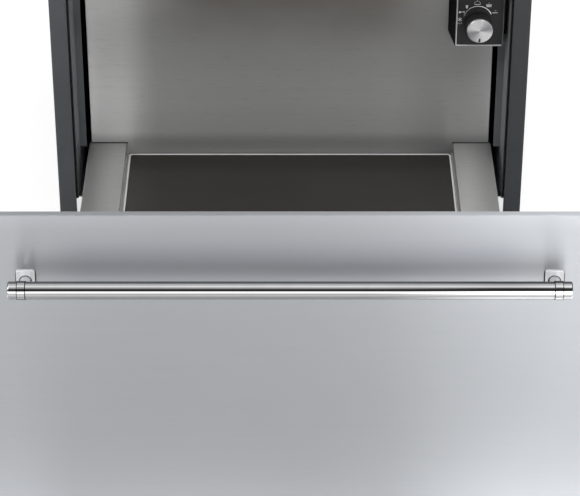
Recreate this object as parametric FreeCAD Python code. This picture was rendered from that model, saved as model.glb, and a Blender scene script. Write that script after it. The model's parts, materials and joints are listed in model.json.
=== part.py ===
import FreeCAD, Part
import math
import os

os.makedirs("parts", exist_ok=True)

# Warming drawer for a counter, drawn with the drawer pulled fully out.
# Millimetres. The front faces -Y, +Z is up, and the origin is the centre of the
# whole outline, drawer out, on the counter that the feet stand on.

V = FreeCAD.Vector

# ---------------------------------------------------------------- driving sizes
# housing
housing_w = 540.0
housing_d = 535.0
foot_h = 12.0
foot_r = 15.0
foot_inset = 34.0
foot_back = 18.0
wall_gauge = 1.0
sheet = 0.8
base_t = 2.5
side_wall = 22.5
post_face = 19.8
top_wall = 19.6
lip_d = 12.0
plinth_lip = 2.7
floor_rise = 73.5
rear_zone = 19.0
inlet_rim = 2.5

# drawer front
panel_reach = 28.5
panel_h = 341.0
panel_bottom = 9.0
top_rise = 16.0
rim_depth = 7.0
skin_gauge = 1.2
carrier_inset = 11.0
carrier_top_inset = 8.5
panel_t = 18.5
gasket_t = 2.0
gasket_w = 13.5
close_gap = 0.5

# heated floor and rear wall of the drawer
pan_lift = 4.0
pan_gauge = 1.0
pan_depth = 40.0
ledge_gap = 11.0
ledge_w = 43.9
ledge_over = 17.5
ledge_drop = 14.0
frame_w = 1.9
frame_gap = 2.7
glass_t = 5.0
heat_t = 2.0
mat_t = 1.5
wall_setback = 54.0
wall_inset = 2.5
wall_flange = 8.0
wall_clear = 5.0
ceiling_clear = 6.0

# handle
bar_r = 8.5
bar_wall = 1.5
bar_reach = 40.0
bar_drop = 59.4
bar_inset = 37.5
cap_l = 8.1
collar_w = 8.8
collar_r = 9.2
arm_r = 5.5
arm_drop = 13.4
plate_w = 20.0
plate_h = 23.6
plate_t = 3.0

# control box and knob
box_w = 55.0
box_h = 68.9
box_side = 5.0
box_setback = 21.0
box_depth = 30.0
knob_in = 26.1
knob_up = 28.0
knob_r = 14.8
knob_len = 18.0
knob_cap_t = 2.4
shaft_r = 3.0

# runners
run_setback = 3.0
run_short = 43.0
run_h = 36.0
run_w = 15.2
run_gauge = 1.2
ball = 1.5

# power parts and screws
unit_w = 80.0
unit_l = 100.0
unit_h = 38.0
unit_back = 77.5
block_w = 50.0
block_d = 22.0
block_h = 20.0
block_gap = 38.0
screw_r = 2.0
screw_l = 6.0
screw_head_r = 3.6
screw_head_h = 2.0
foot_screw_r = 2.5
foot_screw_head_r = 4.4
foot_screw_head_h = 2.6
foot_bore_r = 5.0
foot_bore = 5.0

# clearances
fit = 0.05
near = 0.3

# ---------------------------------------------------------------- derived places
half_w = housing_w / 2
travel = housing_d - wall_setback - pan_gauge - wall_flange - wall_clear - rear_zone
reach = close_gap + gasket_t + panel_t + travel + bar_reach + collar_r
rear_y = (housing_d + reach - inlet_rim) / 2
front_y = rear_y - housing_d
mid_y = (front_y + rear_y) / 2
shell_z0 = foot_h
base_top = shell_z0 + base_t
floor_z = base_top + floor_rise
panel_w = housing_w + 2 * panel_reach
panel_top = panel_bottom + panel_h
housing_top = panel_top + top_rise
opening_top = housing_top - top_wall
ceiling_top = opening_top + sheet
liner_x = half_w - side_wall
post_x = half_w - post_face
face_y = front_y - close_gap - gasket_t - panel_t - travel
carrier_y = face_y + panel_t
wall_y = front_y + wall_setback
flange_y1 = wall_y + pan_gauge + wall_flange
rear_liner_y = flange_y1 + travel + wall_clear
pan_z = floor_z + pan_lift
pan_y0 = carrier_y
pan_y1 = wall_y
ledge_z = pan_z + pan_depth
ledge_out = liner_x - ledge_gap
ledge_in = ledge_out - ledge_w
pan_half = ledge_out - ledge_over
wall_half = ledge_out - wall_inset
wall_top = opening_top - ceiling_clear
frame_out = ledge_in - frame_gap
glass_half = frame_out - frame_w
glass_z = ledge_z - ledge_drop
bar_y = face_y - bar_reach
bar_z = panel_top - bar_drop
bar_half = panel_w / 2 - bar_inset
bracket_x = bar_half - collar_w / 2 - 0.6
arm_root_z = bar_z - arm_drop
box_x1 = liner_x - box_side
box_x0 = box_x1 - box_w
box_z0 = opening_top - box_h
knob_x = box_x0 + knob_in
knob_z = box_z0 + knob_up
run_l = housing_d - run_short


def box(x0, x1, y0, y1, z0, z1):
    lo = V(min(x0, x1), min(y0, y1), min(z0, z1))
    return Part.makeBox(abs(x1 - x0), abs(y1 - y0), abs(z1 - z0), lo)


def cyl(x, y, z, r, length, along):
    return Part.makeCylinder(r, length, V(x, y, z), along)


def join(shapes):
    out = shapes[0]
    for s in shapes[1:]:
        out = out.fuse(s)
    return out.removeSplitter()


def mirror(shape):
    return shape.mirror(V(0, 0, 0), V(1, 0, 0))


def pick(shape, test):
    return [e for e in shape.Edges if test(e)]


def runs_along(edge, axis):
    a = edge.Vertexes[0].Point
    b = edge.Vertexes[-1].Point
    d = b.sub(a)
    sizes = [abs(d.x), abs(d.y), abs(d.z)]
    return sizes[axis] > 1e-6 and sum(sizes) - sizes[axis] < 1e-6


def save(name, shapes):
    if not isinstance(shapes, list):
        shapes = [shapes]
    solids = []
    for s in shapes:
        solids.extend(s.Solids)
    shape = solids[0] if len(solids) == 1 else Part.makeCompound(solids)
    shape.exportStep("parts/" + name + ".step")
    print(name, len(solids), round(sum(s.Volume for s in solids) / 1000.0, 1))


def screw(x, y, z, along, length, r=screw_r, head_r=screw_head_r, head_h=screw_head_h):
    """A pan-head screw whose head sits on (x, y, z) and whose shank runs along the given direction."""
    back = V(-along.x, -along.y, -along.z)
    head = cyl(x, y, z, head_r, head_h, back)
    rim = pick(head, lambda e: e.Curve.TypeId == "Part::GeomCircle" and
               abs(e.CenterOfMass.sub(V(x, y, z)).dot(back) - head_h) < 1e-6)
    head = head.makeFillet(head_h * 0.45, rim)
    top = V(x + back.x * head_h, y + back.y * head_h, z + back.z * head_h)
    for turn in (0, 90):
        slot = Part.makeBox(head_r * 1.1, head_r * 0.2, head_h * 0.45,
                            V(-head_r * 0.55, -head_r * 0.1, -head_h * 0.45))
        slot.rotate(V(0, 0, 0), V(0, 0, 1), turn)
        slot.Placement = FreeCAD.Placement(top, FreeCAD.Rotation(V(0, 0, 1), back)).multiply(slot.Placement)
        head = head.cut(slot)
    shank = cyl(x, y, z, r, length, along)
    return head.fuse(shank).removeSplitter()


X, Y, Z = V(1, 0, 0), V(0, 1, 0), V(0, 0, 1)
MY, MZ = V(0, -1, 0), V(0, 0, -1)

# ---------------------------------------------------------------- housing: outer shell
foot_spots = []
for sx in (-1, 1):
    for fy in (front_y + foot_back, rear_y - foot_back):
        foot_spots.append((sx * (half_w - foot_inset), fy))

base_x = half_w - wall_gauge
base = box(-base_x, base_x, front_y + wall_gauge, rear_y - wall_gauge, shell_z0, base_top)
for fx, fy in foot_spots:
    base = base.cut(cyl(fx, fy, shell_z0 - 1, foot_screw_r + fit, base_t + 2, Z))
slot_step = housing_w * 0.07
slot_y = housing_d * 0.12
for i in range(-4, 5):
    sx = slot_step * i
    base = base.cut(box(sx - 2.0, sx + 2.0, mid_y - slot_y, mid_y + slot_y, shell_z0 - 1, base_top + 1))
save("base_plate", base)

feet = []
foot_screws = []
for fx, fy in foot_spots:
    foot = Part.makeCone(foot_r - 2.0, foot_r, foot_h, V(fx, fy, 0), Z)
    foot = foot.makeFillet(1.2, pick(foot, lambda e: abs(e.CenterOfMass.z) < 1e-6 and len(e.Vertexes) == 1))
    foot = foot.cut(cyl(fx, fy, -1, foot_bore_r, foot_bore + 1, Z))
    foot = foot.cut(cyl(fx, fy, 0, foot_screw_r + fit, foot_h + 1, Z))
    feet.append(foot)
    foot_screws.append(screw(fx, fy, foot_bore, Z, base_top + 2.0 - foot_bore, foot_screw_r,
                             foot_screw_head_r, foot_screw_head_h))
save("feet", feet)
save("foot_screws", foot_screws)


def side_shell():
    skin = box(half_w - wall_gauge, half_w, front_y, rear_y - wall_gauge, shell_z0, housing_top - wall_gauge)
    face = box(post_x, half_w, front_y, front_y + wall_gauge, shell_z0, housing_top - wall_gauge)
    lip = box(post_x, post_x + wall_gauge, front_y, front_y + lip_d, shell_z0, housing_top - wall_gauge)
    rear = box(half_w - 14.0, half_w, rear_y - 2 * wall_gauge, rear_y - wall_gauge, base_top,
               housing_top - wall_gauge)
    shell = join([skin, face, lip, rear])
    corner = pick(shell, lambda e: runs_along(e, 2) and abs(e.CenterOfMass.x - half_w) < 1e-6 and
                  abs(e.CenterOfMass.y - front_y) < 1e-6)
    shell = shell.makeFillet(1.8, corner)
    corner = pick(shell, lambda e: runs_along(e, 2) and abs(e.CenterOfMass.x - post_x) < 1e-6 and
                  abs(e.CenterOfMass.y - front_y) < 1e-6)
    shell = shell.makeFillet(0.8, corner)
    return shell.cut(base)


right_shell = side_shell()
for i in range(9):
    for k in range(3):
        vy = rear_y - 62.0 - 16.0 * i
        vz = base_top + 21.5 + 12.0 * k
        slot = box(half_w - 3.0, half_w + 1.0, vy - 11.0, vy, vz, vz + 3.0)
        right_shell = right_shell.cut(slot)

top_plate = box(-half_w, half_w, front_y, rear_y - wall_gauge, housing_top - wall_gauge, housing_top)
edge = pick(top_plate, lambda e: runs_along(e, 0) and abs(e.CenterOfMass.y - front_y) < 1e-6 and
            abs(e.CenterOfMass.z - housing_top) < 1e-6)
top_plate = top_plate.makeFillet(0.9, edge)
rail_half = post_x - near
rail_face = box(-rail_half, rail_half, front_y, front_y + wall_gauge, opening_top, housing_top - wall_gauge)
rail_lip = box(-rail_half, rail_half, front_y, front_y + lip_d, opening_top, opening_top + wall_gauge)
top_rail = join([rail_face, rail_lip])
edge = pick(top_rail, lambda e: runs_along(e, 0) and abs(e.CenterOfMass.y - front_y) < 1e-6 and
            abs(e.CenterOfMass.z - opening_top) < 1e-6)
top_rail = top_rail.makeFillet(0.8, edge)
save("top_cover", top_plate)
save("top_rail", top_rail)

rear = box(-half_w, half_w, rear_y - wall_gauge, rear_y, shell_z0, housing_top)
rear = rear.makeFillet(0.6, pick(rear, lambda e: abs(e.CenterOfMass.y - rear_y) < 1e-6))
inlet_x = half_w - 85.0
inlet_z = base_top + 31.5
for i in range(16):
    for k in range(2):
        sx = (i - 7.5) * housing_w / 22.0
        sz = housing_top - 66.0 + 14.0 * k
        rear = rear.cut(box(sx - 8.0, sx + 8.0, rear_y - 3.0, rear_y + 1.0, sz, sz + 4.0))
        sz = base_top + 21.5 + 14.0 * k
        if sx < inlet_x - 60.0:
            rear = rear.cut(box(sx - 8.0, sx + 8.0, rear_y - 3.0, rear_y + 1.0, sz, sz + 4.0))
inlet_w = 28.0
inlet_h = 20.4
rear = rear.cut(box(inlet_x - inlet_w / 2, inlet_x + inlet_w / 2, rear_y - 3, rear_y + 1,
                    inlet_z - inlet_h / 2, inlet_z + inlet_h / 2))
screw_step = (housing_top - base_top - 32.0) / 3
rear_spots = []
for sx in (-1, 1):
    for i in range(4):
        rear_spots.append((sx * (half_w - 8.0), base_top + 16.0 + screw_step * i))
for sx, sz in rear_spots:
    rear = rear.cut(cyl(sx, rear_y - 3, sz, screw_r + fit, 5, Y))
save("rear_cover", rear)

rear_screws = [screw(sx, rear_y, sz, MY, screw_l) for sx, sz in rear_spots]
save("rear_screws", rear_screws)
for sx, sz in rear_spots:
    hole = cyl(sx, rear_y - 10, sz, screw_r + fit, 10, Y)
    right_shell = right_shell.cut(hole)
save("side_shell_right", right_shell)
save("side_shell_left", mirror(right_shell))

# ---------------------------------------------------------------- housing: lining and insulation
liner_front = front_y + 2.0
liner = box(liner_x, liner_x + sheet, liner_front, rear_liner_y, floor_z, opening_top)
liner_foot = box(liner_x, liner_x + 10.0, front_y + 14.0, rear_liner_y, floor_z, floor_z + sheet)
liner = join([liner, liner_foot])
save("liner_right", liner)
save("liner_left", mirror(liner))
ceiling = box(-liner_x - 12.0, liner_x + 12.0, front_y + lip_d, rear_liner_y, opening_top, ceiling_top)
save("ceiling_liner", ceiling)
rear_liner = box(-liner_x - 12.0, liner_x + 12.0, rear_liner_y, rear_liner_y + sheet, floor_z, ceiling_top)
for i in range(12):
    for k in range(4):
        hx = (i - 5.5) * 16.0
        hz = (floor_z + opening_top) / 2 + (k - 1.5) * 16.0
        rear_liner = rear_liner.cut(cyl(hx, rear_liner_y - 1, hz, 3.0, 3, Y))
save("rear_liner", rear_liner)

floor = box(-post_x + near, post_x - near, front_y + wall_gauge, rear_liner_y + sheet,
            floor_z - 1.0, floor_z)
save("floor_liner", floor)
plinth = box(-post_x + near, post_x - near, front_y, front_y + wall_gauge, base_top, floor_z)
plinth_top = box(-liner_x + near, liner_x - near, front_y, front_y + plinth_lip,
                 floor_z, floor_z + wall_gauge)
plinth = join([plinth, plinth_top])
edge = pick(plinth, lambda e: runs_along(e, 0) and abs(e.CenterOfMass.y - front_y) < 1e-6 and
            abs(e.CenterOfMass.z - floor_z - wall_gauge) < 1e-6)
plinth = plinth.makeFillet(0.8, edge)
for i in range(-6, 7):
    for k in range(2):
        sx = i * housing_w / 21.6
        sz = base_top + 25.5 + 12.0 * k
        plinth = plinth.cut(box(sx - 9.0, sx + 9.0, front_y - 1, front_y + 3, sz, sz + 4.0))
save("plinth_rail", plinth)

wool_y0 = front_y + lip_d + 1.0
wool = box(liner_x + sheet + near, half_w - wall_gauge - near, wool_y0, rear_liner_y - 1.0,
           floor_z + sheet, opening_top)
save("insulation_right", wool)
save("insulation_left", mirror(wool))
wool_top = box(-liner_x - 12.0, liner_x + 12.0, wool_y0, rear_liner_y, ceiling_top, housing_top - wall_gauge)
save("insulation_top", wool_top)
wool_rear = box(-liner_x, liner_x, rear_liner_y + sheet, rear_y - 2 * wall_gauge - near, floor_z,
                opening_top)
save("insulation_rear", wool_rear)

beams = []
beam_y0 = front_y + 20.0
beam_step = (rear_liner_y - beam_y0) / 5
for sx in (-1, 1):
    bx = sx * housing_w * 0.24
    web = box(bx - 0.75, bx + 0.75, beam_y0, rear_liner_y, base_top, floor_z - 1.0)
    foot = box(bx - 0.75, bx + 16.0, beam_y0, rear_liner_y, base_top, base_top + 1.5)
    head = box(bx - 0.75, bx + 16.0, beam_y0, rear_liner_y, floor_z - 2.5, floor_z - 1.0)
    beam = join([web, foot, head])
    for i in range(5):
        hy = beam_y0 + beam_step * (i + 0.5)
        beam = beam.cut(cyl(bx - 5, hy, (base_top + floor_z) / 2, 16.0, 10, X))
    beams.append(beam)
save("floor_beams", beams)

# ---------------------------------------------------------------- housing: power parts
flange = box(inlet_x - 24.0, inlet_x + 24.0, rear_y, rear_y + inlet_rim, inlet_z - 14.0, inlet_z + 14.0)
flange = flange.makeFillet(5.0, pick(flange, lambda e: runs_along(e, 1)))
body = box(inlet_x - inlet_w / 2 + fit, inlet_x + inlet_w / 2 - fit, rear_y - 26.0, rear_y + inlet_rim,
           inlet_z - inlet_h / 2 + fit, inlet_z + inlet_h / 2 - fit)
inlet = join([flange, body])
well = box(inlet_x - 12.0, inlet_x + 12.0, rear_y - 18.0, rear_y + 3.0, inlet_z - 8.0, inlet_z + 8.0)
well = well.makeChamfer(4.0, pick(well, lambda e: runs_along(e, 1) and e.CenterOfMass.z > inlet_z))
inlet = inlet.cut(well)
pins = []
for px, pz in ((-7.0, 1.5), (0.0, -2.5), (7.0, 1.5)):
    pin = box(inlet_x + px - 1.0, inlet_x + px + 1.0, rear_y - 34.0, rear_y - 4.0,
              inlet_z + pz - 2.0, inlet_z + pz + 2.0)
    inlet = inlet.cut(pin)
    pins.append(pin)
for sx in (-1, 1):
    inlet = inlet.cut(cyl(inlet_x + sx * 20.0, rear_y - 1, inlet_z, 1.6, 5, Y))
save("power_inlet", inlet)
save("inlet_pins", pins)

unit_x0 = half_w - 40.0 - unit_w
unit_y0 = rear_y - unit_back - unit_l
unit_z1 = base_top + unit_h
unit = box(unit_x0, unit_x0 + unit_w, unit_y0, unit_y0 + unit_l, base_top, unit_z1)
unit = unit.makeFillet(2.0, pick(unit, lambda e: e.CenterOfMass.z > base_top + 1.0))
for i in range(7):
    fy = unit_y0 + unit_l * (0.1 + 0.12 * i)
    unit = unit.cut(box(unit_x0 + 5.0, unit_x0 + unit_w - 5.0, fy, fy + 4.0, unit_z1 - 1.5, unit_z1 + 1))
save("power_unit", unit)
block_y = unit_y0 - block_gap - block_d
block_z1 = base_top + block_h
block = box(unit_x0, unit_x0 + block_w, block_y, block_y + block_d, base_top, block_z1)
lane = block_w / 5
for i in range(5):
    lx = unit_x0 + lane * (i + 0.5)
    block = block.cut(box(lx - 3.0, lx + 3.0, block_y - 1, block_y + 10.0, base_top + 8.0, block_z1 + 1))
save("terminal_block", block)

# ---------------------------------------------------------------- housing: control box
cb_y0 = front_y + box_setback
cb_y1 = cb_y0 + box_depth
cb_z1 = opening_top
solid = box(box_x0, box_x1, cb_y0, cb_y1, box_z0, cb_z1)
edges = pick(solid, lambda e: (abs(e.CenterOfMass.y - cb_y0) < 1e-6 and e.CenterOfMass.z < cb_z1 - 1.0) or
             (abs(e.CenterOfMass.z - box_z0) < 1e-6 and abs(e.CenterOfMass.y - cb_y1) > 1e-6))
solid = solid.makeFillet(1.6, edges)
hollow = box(box_x0 + 1.0, box_x1 - 1.0, cb_y0 + 1.0, cb_y1 - 1.0, box_z0 + 1.0, cb_z1)
control = solid.cut(hollow)
tab = box(box_x1 - 1.0, liner_x, cb_y1 - 1.0, cb_y1, box_z0 + 10.0, cb_z1)
control = join([control, tab])
shaft_hole_r = shaft_r + 1.2 + fit
control = control.cut(cyl(knob_x, cb_y0 - 1, knob_z, shaft_hole_r, 3, Y))
save("control_box", control)

reg = box(knob_x - 17.0, knob_x + 17.0, cb_y0 + 1.0, cb_y0 + 19.0, knob_z - 17.0, knob_z + 17.0)
reg = reg.makeFillet(2.0, pick(reg, lambda e: runs_along(e, 1)))
bush = cyl(knob_x, cb_y0 - 0.6, knob_z, shaft_r + 1.2, 3.0, Y)
reg = join([reg, bush])
reg = reg.cut(cyl(knob_x, cb_y0 - 1, knob_z, shaft_r + fit, 15.0, Y))
for i in range(3):
    lug = box(knob_x - 12.0 + 10.0 * i, knob_x - 8.0 + 10.0 * i, cb_y0 + 19.0, cb_y0 + 24.0,
              knob_z - 10.0, knob_z - 9.2)
    reg = reg.fuse(lug)
save("regulator", reg)

# ---------------------------------------------------------------- knob, which turns about Y
knob_y1 = cb_y0 - near - 0.3
knob_y0 = knob_y1 - knob_len
grip = cyl(knob_x, knob_y0 + knob_cap_t, knob_z, knob_r, knob_len - knob_cap_t, Y)
rim = pick(grip, lambda e: e.Curve.TypeId == "Part::GeomCircle" and abs(e.CenterOfMass.y - knob_y1) < 1e-6)
grip = grip.makeFillet(0.8, rim)
grip = grip.cut(cyl(knob_x, knob_y1 - 6.0, knob_z, knob_r - 2.5, 7.0, Y))
hub = cyl(knob_x, knob_y1 - 7.0, knob_z, 6.0, 6.6, Y)
grip = join([grip, hub])
grip = grip.cut(cyl(knob_x, knob_y1 - 9.0, knob_z, shaft_r, 10.0, Y))
ribs = 36
for i in range(ribs):
    a = 2 * math.pi * i / ribs
    gx = knob_x + math.cos(a) * (knob_r + 0.25)
    gz = knob_z + math.sin(a) * (knob_r + 0.25)
    grip = grip.cut(cyl(gx, knob_y0 + knob_cap_t + 1.6, gz, 0.55, knob_len, Y))
save("knob_body", grip)

cap_r = knob_r - 0.15
cap = cyl(knob_x, knob_y0, knob_z, cap_r, knob_cap_t, Y)
rim = pick(cap, lambda e: e.Curve.TypeId == "Part::GeomCircle" and abs(e.CenterOfMass.y - knob_y0) < 1e-6)
cap = cap.makeFillet(0.9, rim)
mark_z = knob_z - 11.4
mark = box(knob_x - 0.7, knob_x + 0.7, knob_y0, knob_y0 + 0.5, mark_z - 2.2, mark_z + 2.2)
cap = cap.cut(mark)
save("knob_cap", cap)
save("knob_mark", mark)
shaft = cyl(knob_x, knob_y1 - 9.0, knob_z, shaft_r, 20.0, Y)
save("knob_shaft", shaft)

# ---------------------------------------------------------------- runners
def channel(x_web, x_tip, y0, y1, z0, z1):
    """A C-shaped runner profile: an upright web at x_web with two flanges that reach to x_tip."""
    side = 1 if x_tip > x_web else -1
    rails = [box(x_web, x_web + side * run_gauge, y0, y1, z0, z1)]
    rails.append(box(x_web, x_tip, y0, y1, z0, z0 + run_gauge))
    rails.append(box(x_web, x_tip, y0, y1, z1 - run_gauge, z1))
    return join(rails)


fix_z0 = pan_z + 1.0
fix_z1 = fix_z0 + run_h
fix_x1 = pan_half + run_w
fix_y0 = front_y + run_setback
fix_y1 = fix_y0 + run_l
fixed = channel(fix_x1, fix_x1 - 9.2, fix_y0, fix_y1, fix_z0, fix_z1)
stem = box(fix_x1 - run_gauge, fix_x1, fix_y0, fix_y1, floor_z, fix_z0 + 1.0)
foot_z = floor_z + sheet
foot = box(fix_x1 - run_gauge, liner_x - near, fix_y0 + 13.0, fix_y1, foot_z, foot_z + run_gauge)
stop = box(fix_x1 - 9.2, fix_x1, fix_y1, fix_y1 + run_gauge, floor_z, fix_z1)
fixed = join([fixed, stem, foot, stop])
save("runner_fixed_right", fixed)
save("runner_fixed_left", mirror(fixed))

mid_l = run_l - 6.0
mid_y0 = fix_y0 + 1.5 - travel / 2
mid_z0 = fix_z0 + run_gauge + ball
mid_z1 = fix_z1 - run_gauge - ball
mid_x1 = fix_x1 - run_gauge - 2.2
mid = channel(mid_x1, mid_x1 - 8.8, mid_y0, mid_y0 + mid_l, mid_z0, mid_z1)
save("runner_mid_right", mid)
save("runner_mid_left", mirror(mid))
outer_glide = (mid_x1 - 4.6, mid_x1 - 1.0, mid_y0 + travel / 2 + 2.0, mid_y0 + mid_l - 4.0)
inner_glide = (mid_x1 - 7.6, mid_x1 - 4.0, mid_y0 + 3.0, mid_y0 + mid_l - travel / 2)
glides = [box(*outer_glide, mid_z0 - ball + near, mid_z0)]
glides.append(box(*outer_glide, mid_z1, mid_z1 + ball - near))
glides.append(box(*inner_glide, mid_z0 + run_gauge, mid_z0 + run_gauge + ball - near))
glides.append(box(*inner_glide, mid_z1 - run_gauge - ball + near, mid_z1 - run_gauge))
save("runner_glides_right", glides)
save("runner_glides_left", [mirror(g) for g in glides])

in_y0 = carrier_y + 6.0
in_z0 = mid_z0 + run_gauge + ball
in_z1 = mid_z1 - run_gauge - ball
inner = channel(pan_half, pan_half + 8.0, in_y0, in_y0 + run_l - 2.0, in_z0, in_z1)
save("runner_drawer_right", inner)
save("runner_drawer_left", mirror(inner))

# ---------------------------------------------------------------- drawer: front
skin = box(-panel_w / 2, panel_w / 2, face_y, face_y + rim_depth, panel_bottom, panel_top)
edges = pick(skin, lambda e: abs(e.CenterOfMass.y - face_y - rim_depth / 2) < 1e-6)
skin = skin.makeFillet(2.0, edges)
edges = pick(skin, lambda e: abs(e.CenterOfMass.y - face_y) < 1e-6)
skin = skin.makeFillet(1.5, edges)
skin_x = panel_w / 2 - skin_gauge
skin = skin.cut(box(-skin_x, skin_x, face_y + skin_gauge, face_y + rim_depth + 1,
                    panel_bottom + skin_gauge, panel_top - skin_gauge))
screw_dz = 6.5
handle_screw_spots = []
for sx in (-1, 1):
    for dz in (-screw_dz, screw_dz):
        handle_screw_spots.append((sx * bracket_x, arm_root_z + dz))
for hx, hz in handle_screw_spots:
    skin = skin.cut(cyl(hx, face_y - 1, hz, screw_r + fit, 4, Y))
save("front_skin", skin)

car_x = panel_w / 2 - carrier_inset
car_z0 = panel_bottom + carrier_inset
car_z1 = panel_top - carrier_top_inset
carrier = box(-car_x, car_x, face_y + skin_gauge, carrier_y, car_z0, car_z1)
carrier = carrier.makeFillet(3.0, pick(carrier, lambda e: runs_along(e, 1)))
carrier = carrier.makeFillet(1.2, pick(carrier, lambda e: abs(e.CenterOfMass.y - carrier_y) < 1e-6))
carrier = carrier.cut(box(-car_x + sheet, car_x - sheet, face_y, carrier_y - sheet,
                          car_z0 + sheet, car_z1 - sheet))
front_spots = []
for i in (-3, -1, 1, 3):
    front_spots.append((i * pan_half * 0.23, pan_z + 6.0))
for sx in (-1, 1):
    front_spots.append((sx * (pan_half - 14.0), pan_z + 6.0))
    front_spots.append((sx * (pan_half - 14.0), pan_z + 14.0))
for fx, fz in front_spots:
    carrier = carrier.cut(cyl(fx, carrier_y - 3, fz, screw_r + fit, 5, Y))
save("front_carrier", carrier)

fill = box(-car_x + sheet + near, car_x - sheet - near, face_y + skin_gauge, carrier_y - sheet,
           car_z0 + sheet + near, car_z1 - sheet - near)
fill = fill.makeFillet(3.0, pick(fill, lambda e: runs_along(e, 1)))
for hx, hz in handle_screw_spots:
    fill = fill.cut(cyl(hx, face_y, hz, screw_head_r + 0.6, 8.0, Y))
for fx, fz in front_spots:
    fill = fill.cut(cyl(fx, carrier_y - 12, fz, screw_r + 0.6, 14.0, Y))
save("front_insulation", fill)

gas_x1 = half_w - 4.0
gas_z1 = car_z1 - 3.0
gas_z0 = car_z0 + 6.0
outer = box(-gas_x1, gas_x1, carrier_y, carrier_y + gasket_t, gas_z0, gas_z1)
outer = outer.makeFillet(8.0, pick(outer, lambda e: runs_along(e, 1)))
hole_x = gas_x1 - gasket_w
hole = box(-hole_x, hole_x, carrier_y - 1, carrier_y + gasket_t + 1, gas_z0 + gasket_w, gas_z1 - gasket_w)
hole = hole.makeFillet(4.0, pick(hole, lambda e: runs_along(e, 1)))
gasket = outer.cut(hole)
save("front_gasket", gasket)

# ---------------------------------------------------------------- drawer: handle
tube = cyl(-bar_half, bar_y, bar_z, bar_r, 2 * bar_half, X)
tube = tube.cut(cyl(-bar_half - 1, bar_y, bar_z, bar_r - bar_wall, 2 * bar_half + 2, X))
save("handle_bar", tube)
caps = []
for sx in (-1, 1):
    along = V(sx, 0, 0)
    end = cyl(sx * bar_half, bar_y, bar_z, bar_r, cap_l, along)
    end = end.makeFillet(1.6, pick(end, lambda e: abs(abs(e.CenterOfMass.x) - bar_half - cap_l) < 1e-6))
    plug = cyl(sx * (bar_half - 10.0), bar_y, bar_z, bar_r - bar_wall - fit, 10.0, along)
    caps.append(join([end, plug]))
save("handle_caps", caps)


def bracket():
    plate = box(bracket_x - plate_w / 2, bracket_x + plate_w / 2, face_y - plate_t, face_y,
                arm_root_z - plate_h / 2, arm_root_z + plate_h / 2)
    plate = plate.makeFillet(4.0, pick(plate, lambda e: runs_along(e, 1)))
    plate = plate.makeFillet(0.8, pick(plate, lambda e: abs(e.CenterOfMass.y - face_y + plate_t) < 1e-6))
    p0 = V(bracket_x, face_y - plate_t + 1.0, arm_root_z)
    p1 = V(bracket_x, face_y - 12.0, arm_root_z)
    p2 = V(bracket_x, bar_y, bar_z)
    rise = p2.z - p1.z
    reach = p1.y - p2.y
    rad = (rise * rise + reach * reach) / (2 * rise)
    ang = math.asin(reach / rad) / 2
    pm = V(bracket_x, p1.y - rad * math.sin(ang), p1.z + rad * (1 - math.cos(ang)))
    path = Part.Wire([Part.LineSegment(p0, p1).toShape(), Part.Arc(p1, pm, p2).toShape()])
    ring = Part.Wire([Part.makeCircle(arm_r, p0, MY)])
    arm = path.makePipeShell([ring], True, False)
    collar = cyl(bracket_x - collar_w / 2, bar_y, bar_z, collar_r, collar_w, X)
    collar = collar.makeFillet(0.7, pick(collar, lambda e: e.Curve.TypeId == "Part::GeomCircle"))
    whole = plate.fuse(arm).fuse(collar)
    return whole.cut(cyl(bracket_x - 20, bar_y, bar_z, bar_r + fit, 40, X))


brackets = bracket()
for hx, hz in handle_screw_spots:
    brackets = brackets.cut(cyl(hx, face_y - 2.2, hz, screw_r + fit, 4.0, Y))
save("handle_bracket_right", brackets)
save("handle_bracket_left", mirror(brackets))
handle_screws = []
for hx, hz in handle_screw_spots:
    handle_screws.append(screw(hx, face_y + skin_gauge, hz, MY, skin_gauge + 2.0))
save("handle_screws", handle_screws)

# ---------------------------------------------------------------- drawer: heated floor
pan_wall_top = ledge_z - sheet
pan = box(-pan_half, pan_half, pan_y0, pan_y1, pan_z, pan_wall_top)
pan = pan.cut(box(-pan_half + pan_gauge, pan_half - pan_gauge, pan_y0 + pan_gauge, pan_y1 - pan_gauge,
                  pan_z + pan_gauge, pan_wall_top + 1))
pan = pan.cut(box(-pan_half + pan_gauge, pan_half - pan_gauge, pan_y0 - 1, pan_y1 + 1,
                  glass_z - glass_t - 1.0, pan_wall_top + 1))
for fx, fz in front_spots:
    pan = pan.cut(cyl(fx, pan_y0 - 2, fz, screw_r + fit, 6, Y))
for i in range(-2, 3):
    for k in range(-4, 5):
        hx = pan_half * 0.27 * i
        hy = (pan_y0 + pan_y1) / 2 + (pan_y1 - pan_y0) * 0.08 * k
        pan = pan.cut(cyl(hx, hy, pan_z - 1, 4.0, 3, Z))
save("drawer_pan", pan)
save("front_screws", [screw(fx, pan_y0 + pan_gauge, fz, MY, screw_l) for fx, fz in front_spots])

gy0 = pan_y0 + pan_gauge + 3.0
gy1 = pan_y1 - pan_gauge - 3.0
glass = box(-glass_half, glass_half, gy0, gy1, glass_z - glass_t, glass_z)
glass = glass.makeFillet(3.0, pick(glass, lambda e: runs_along(e, 2)))
frame = box(-frame_out, frame_out, gy0 - frame_w, gy1 + frame_w, glass_z - glass_t - 0.9, glass_z + 0.4)
frame = frame.makeFillet(4.9, pick(frame, lambda e: runs_along(e, 2)))
well = box(-glass_half, glass_half, gy0, gy1, glass_z - glass_t - 2, glass_z + 2)
well = well.makeFillet(3.0, pick(well, lambda e: runs_along(e, 2)))
frame = frame.cut(well)
save("warming_glass", glass)
save("glass_frame", frame)

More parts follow.
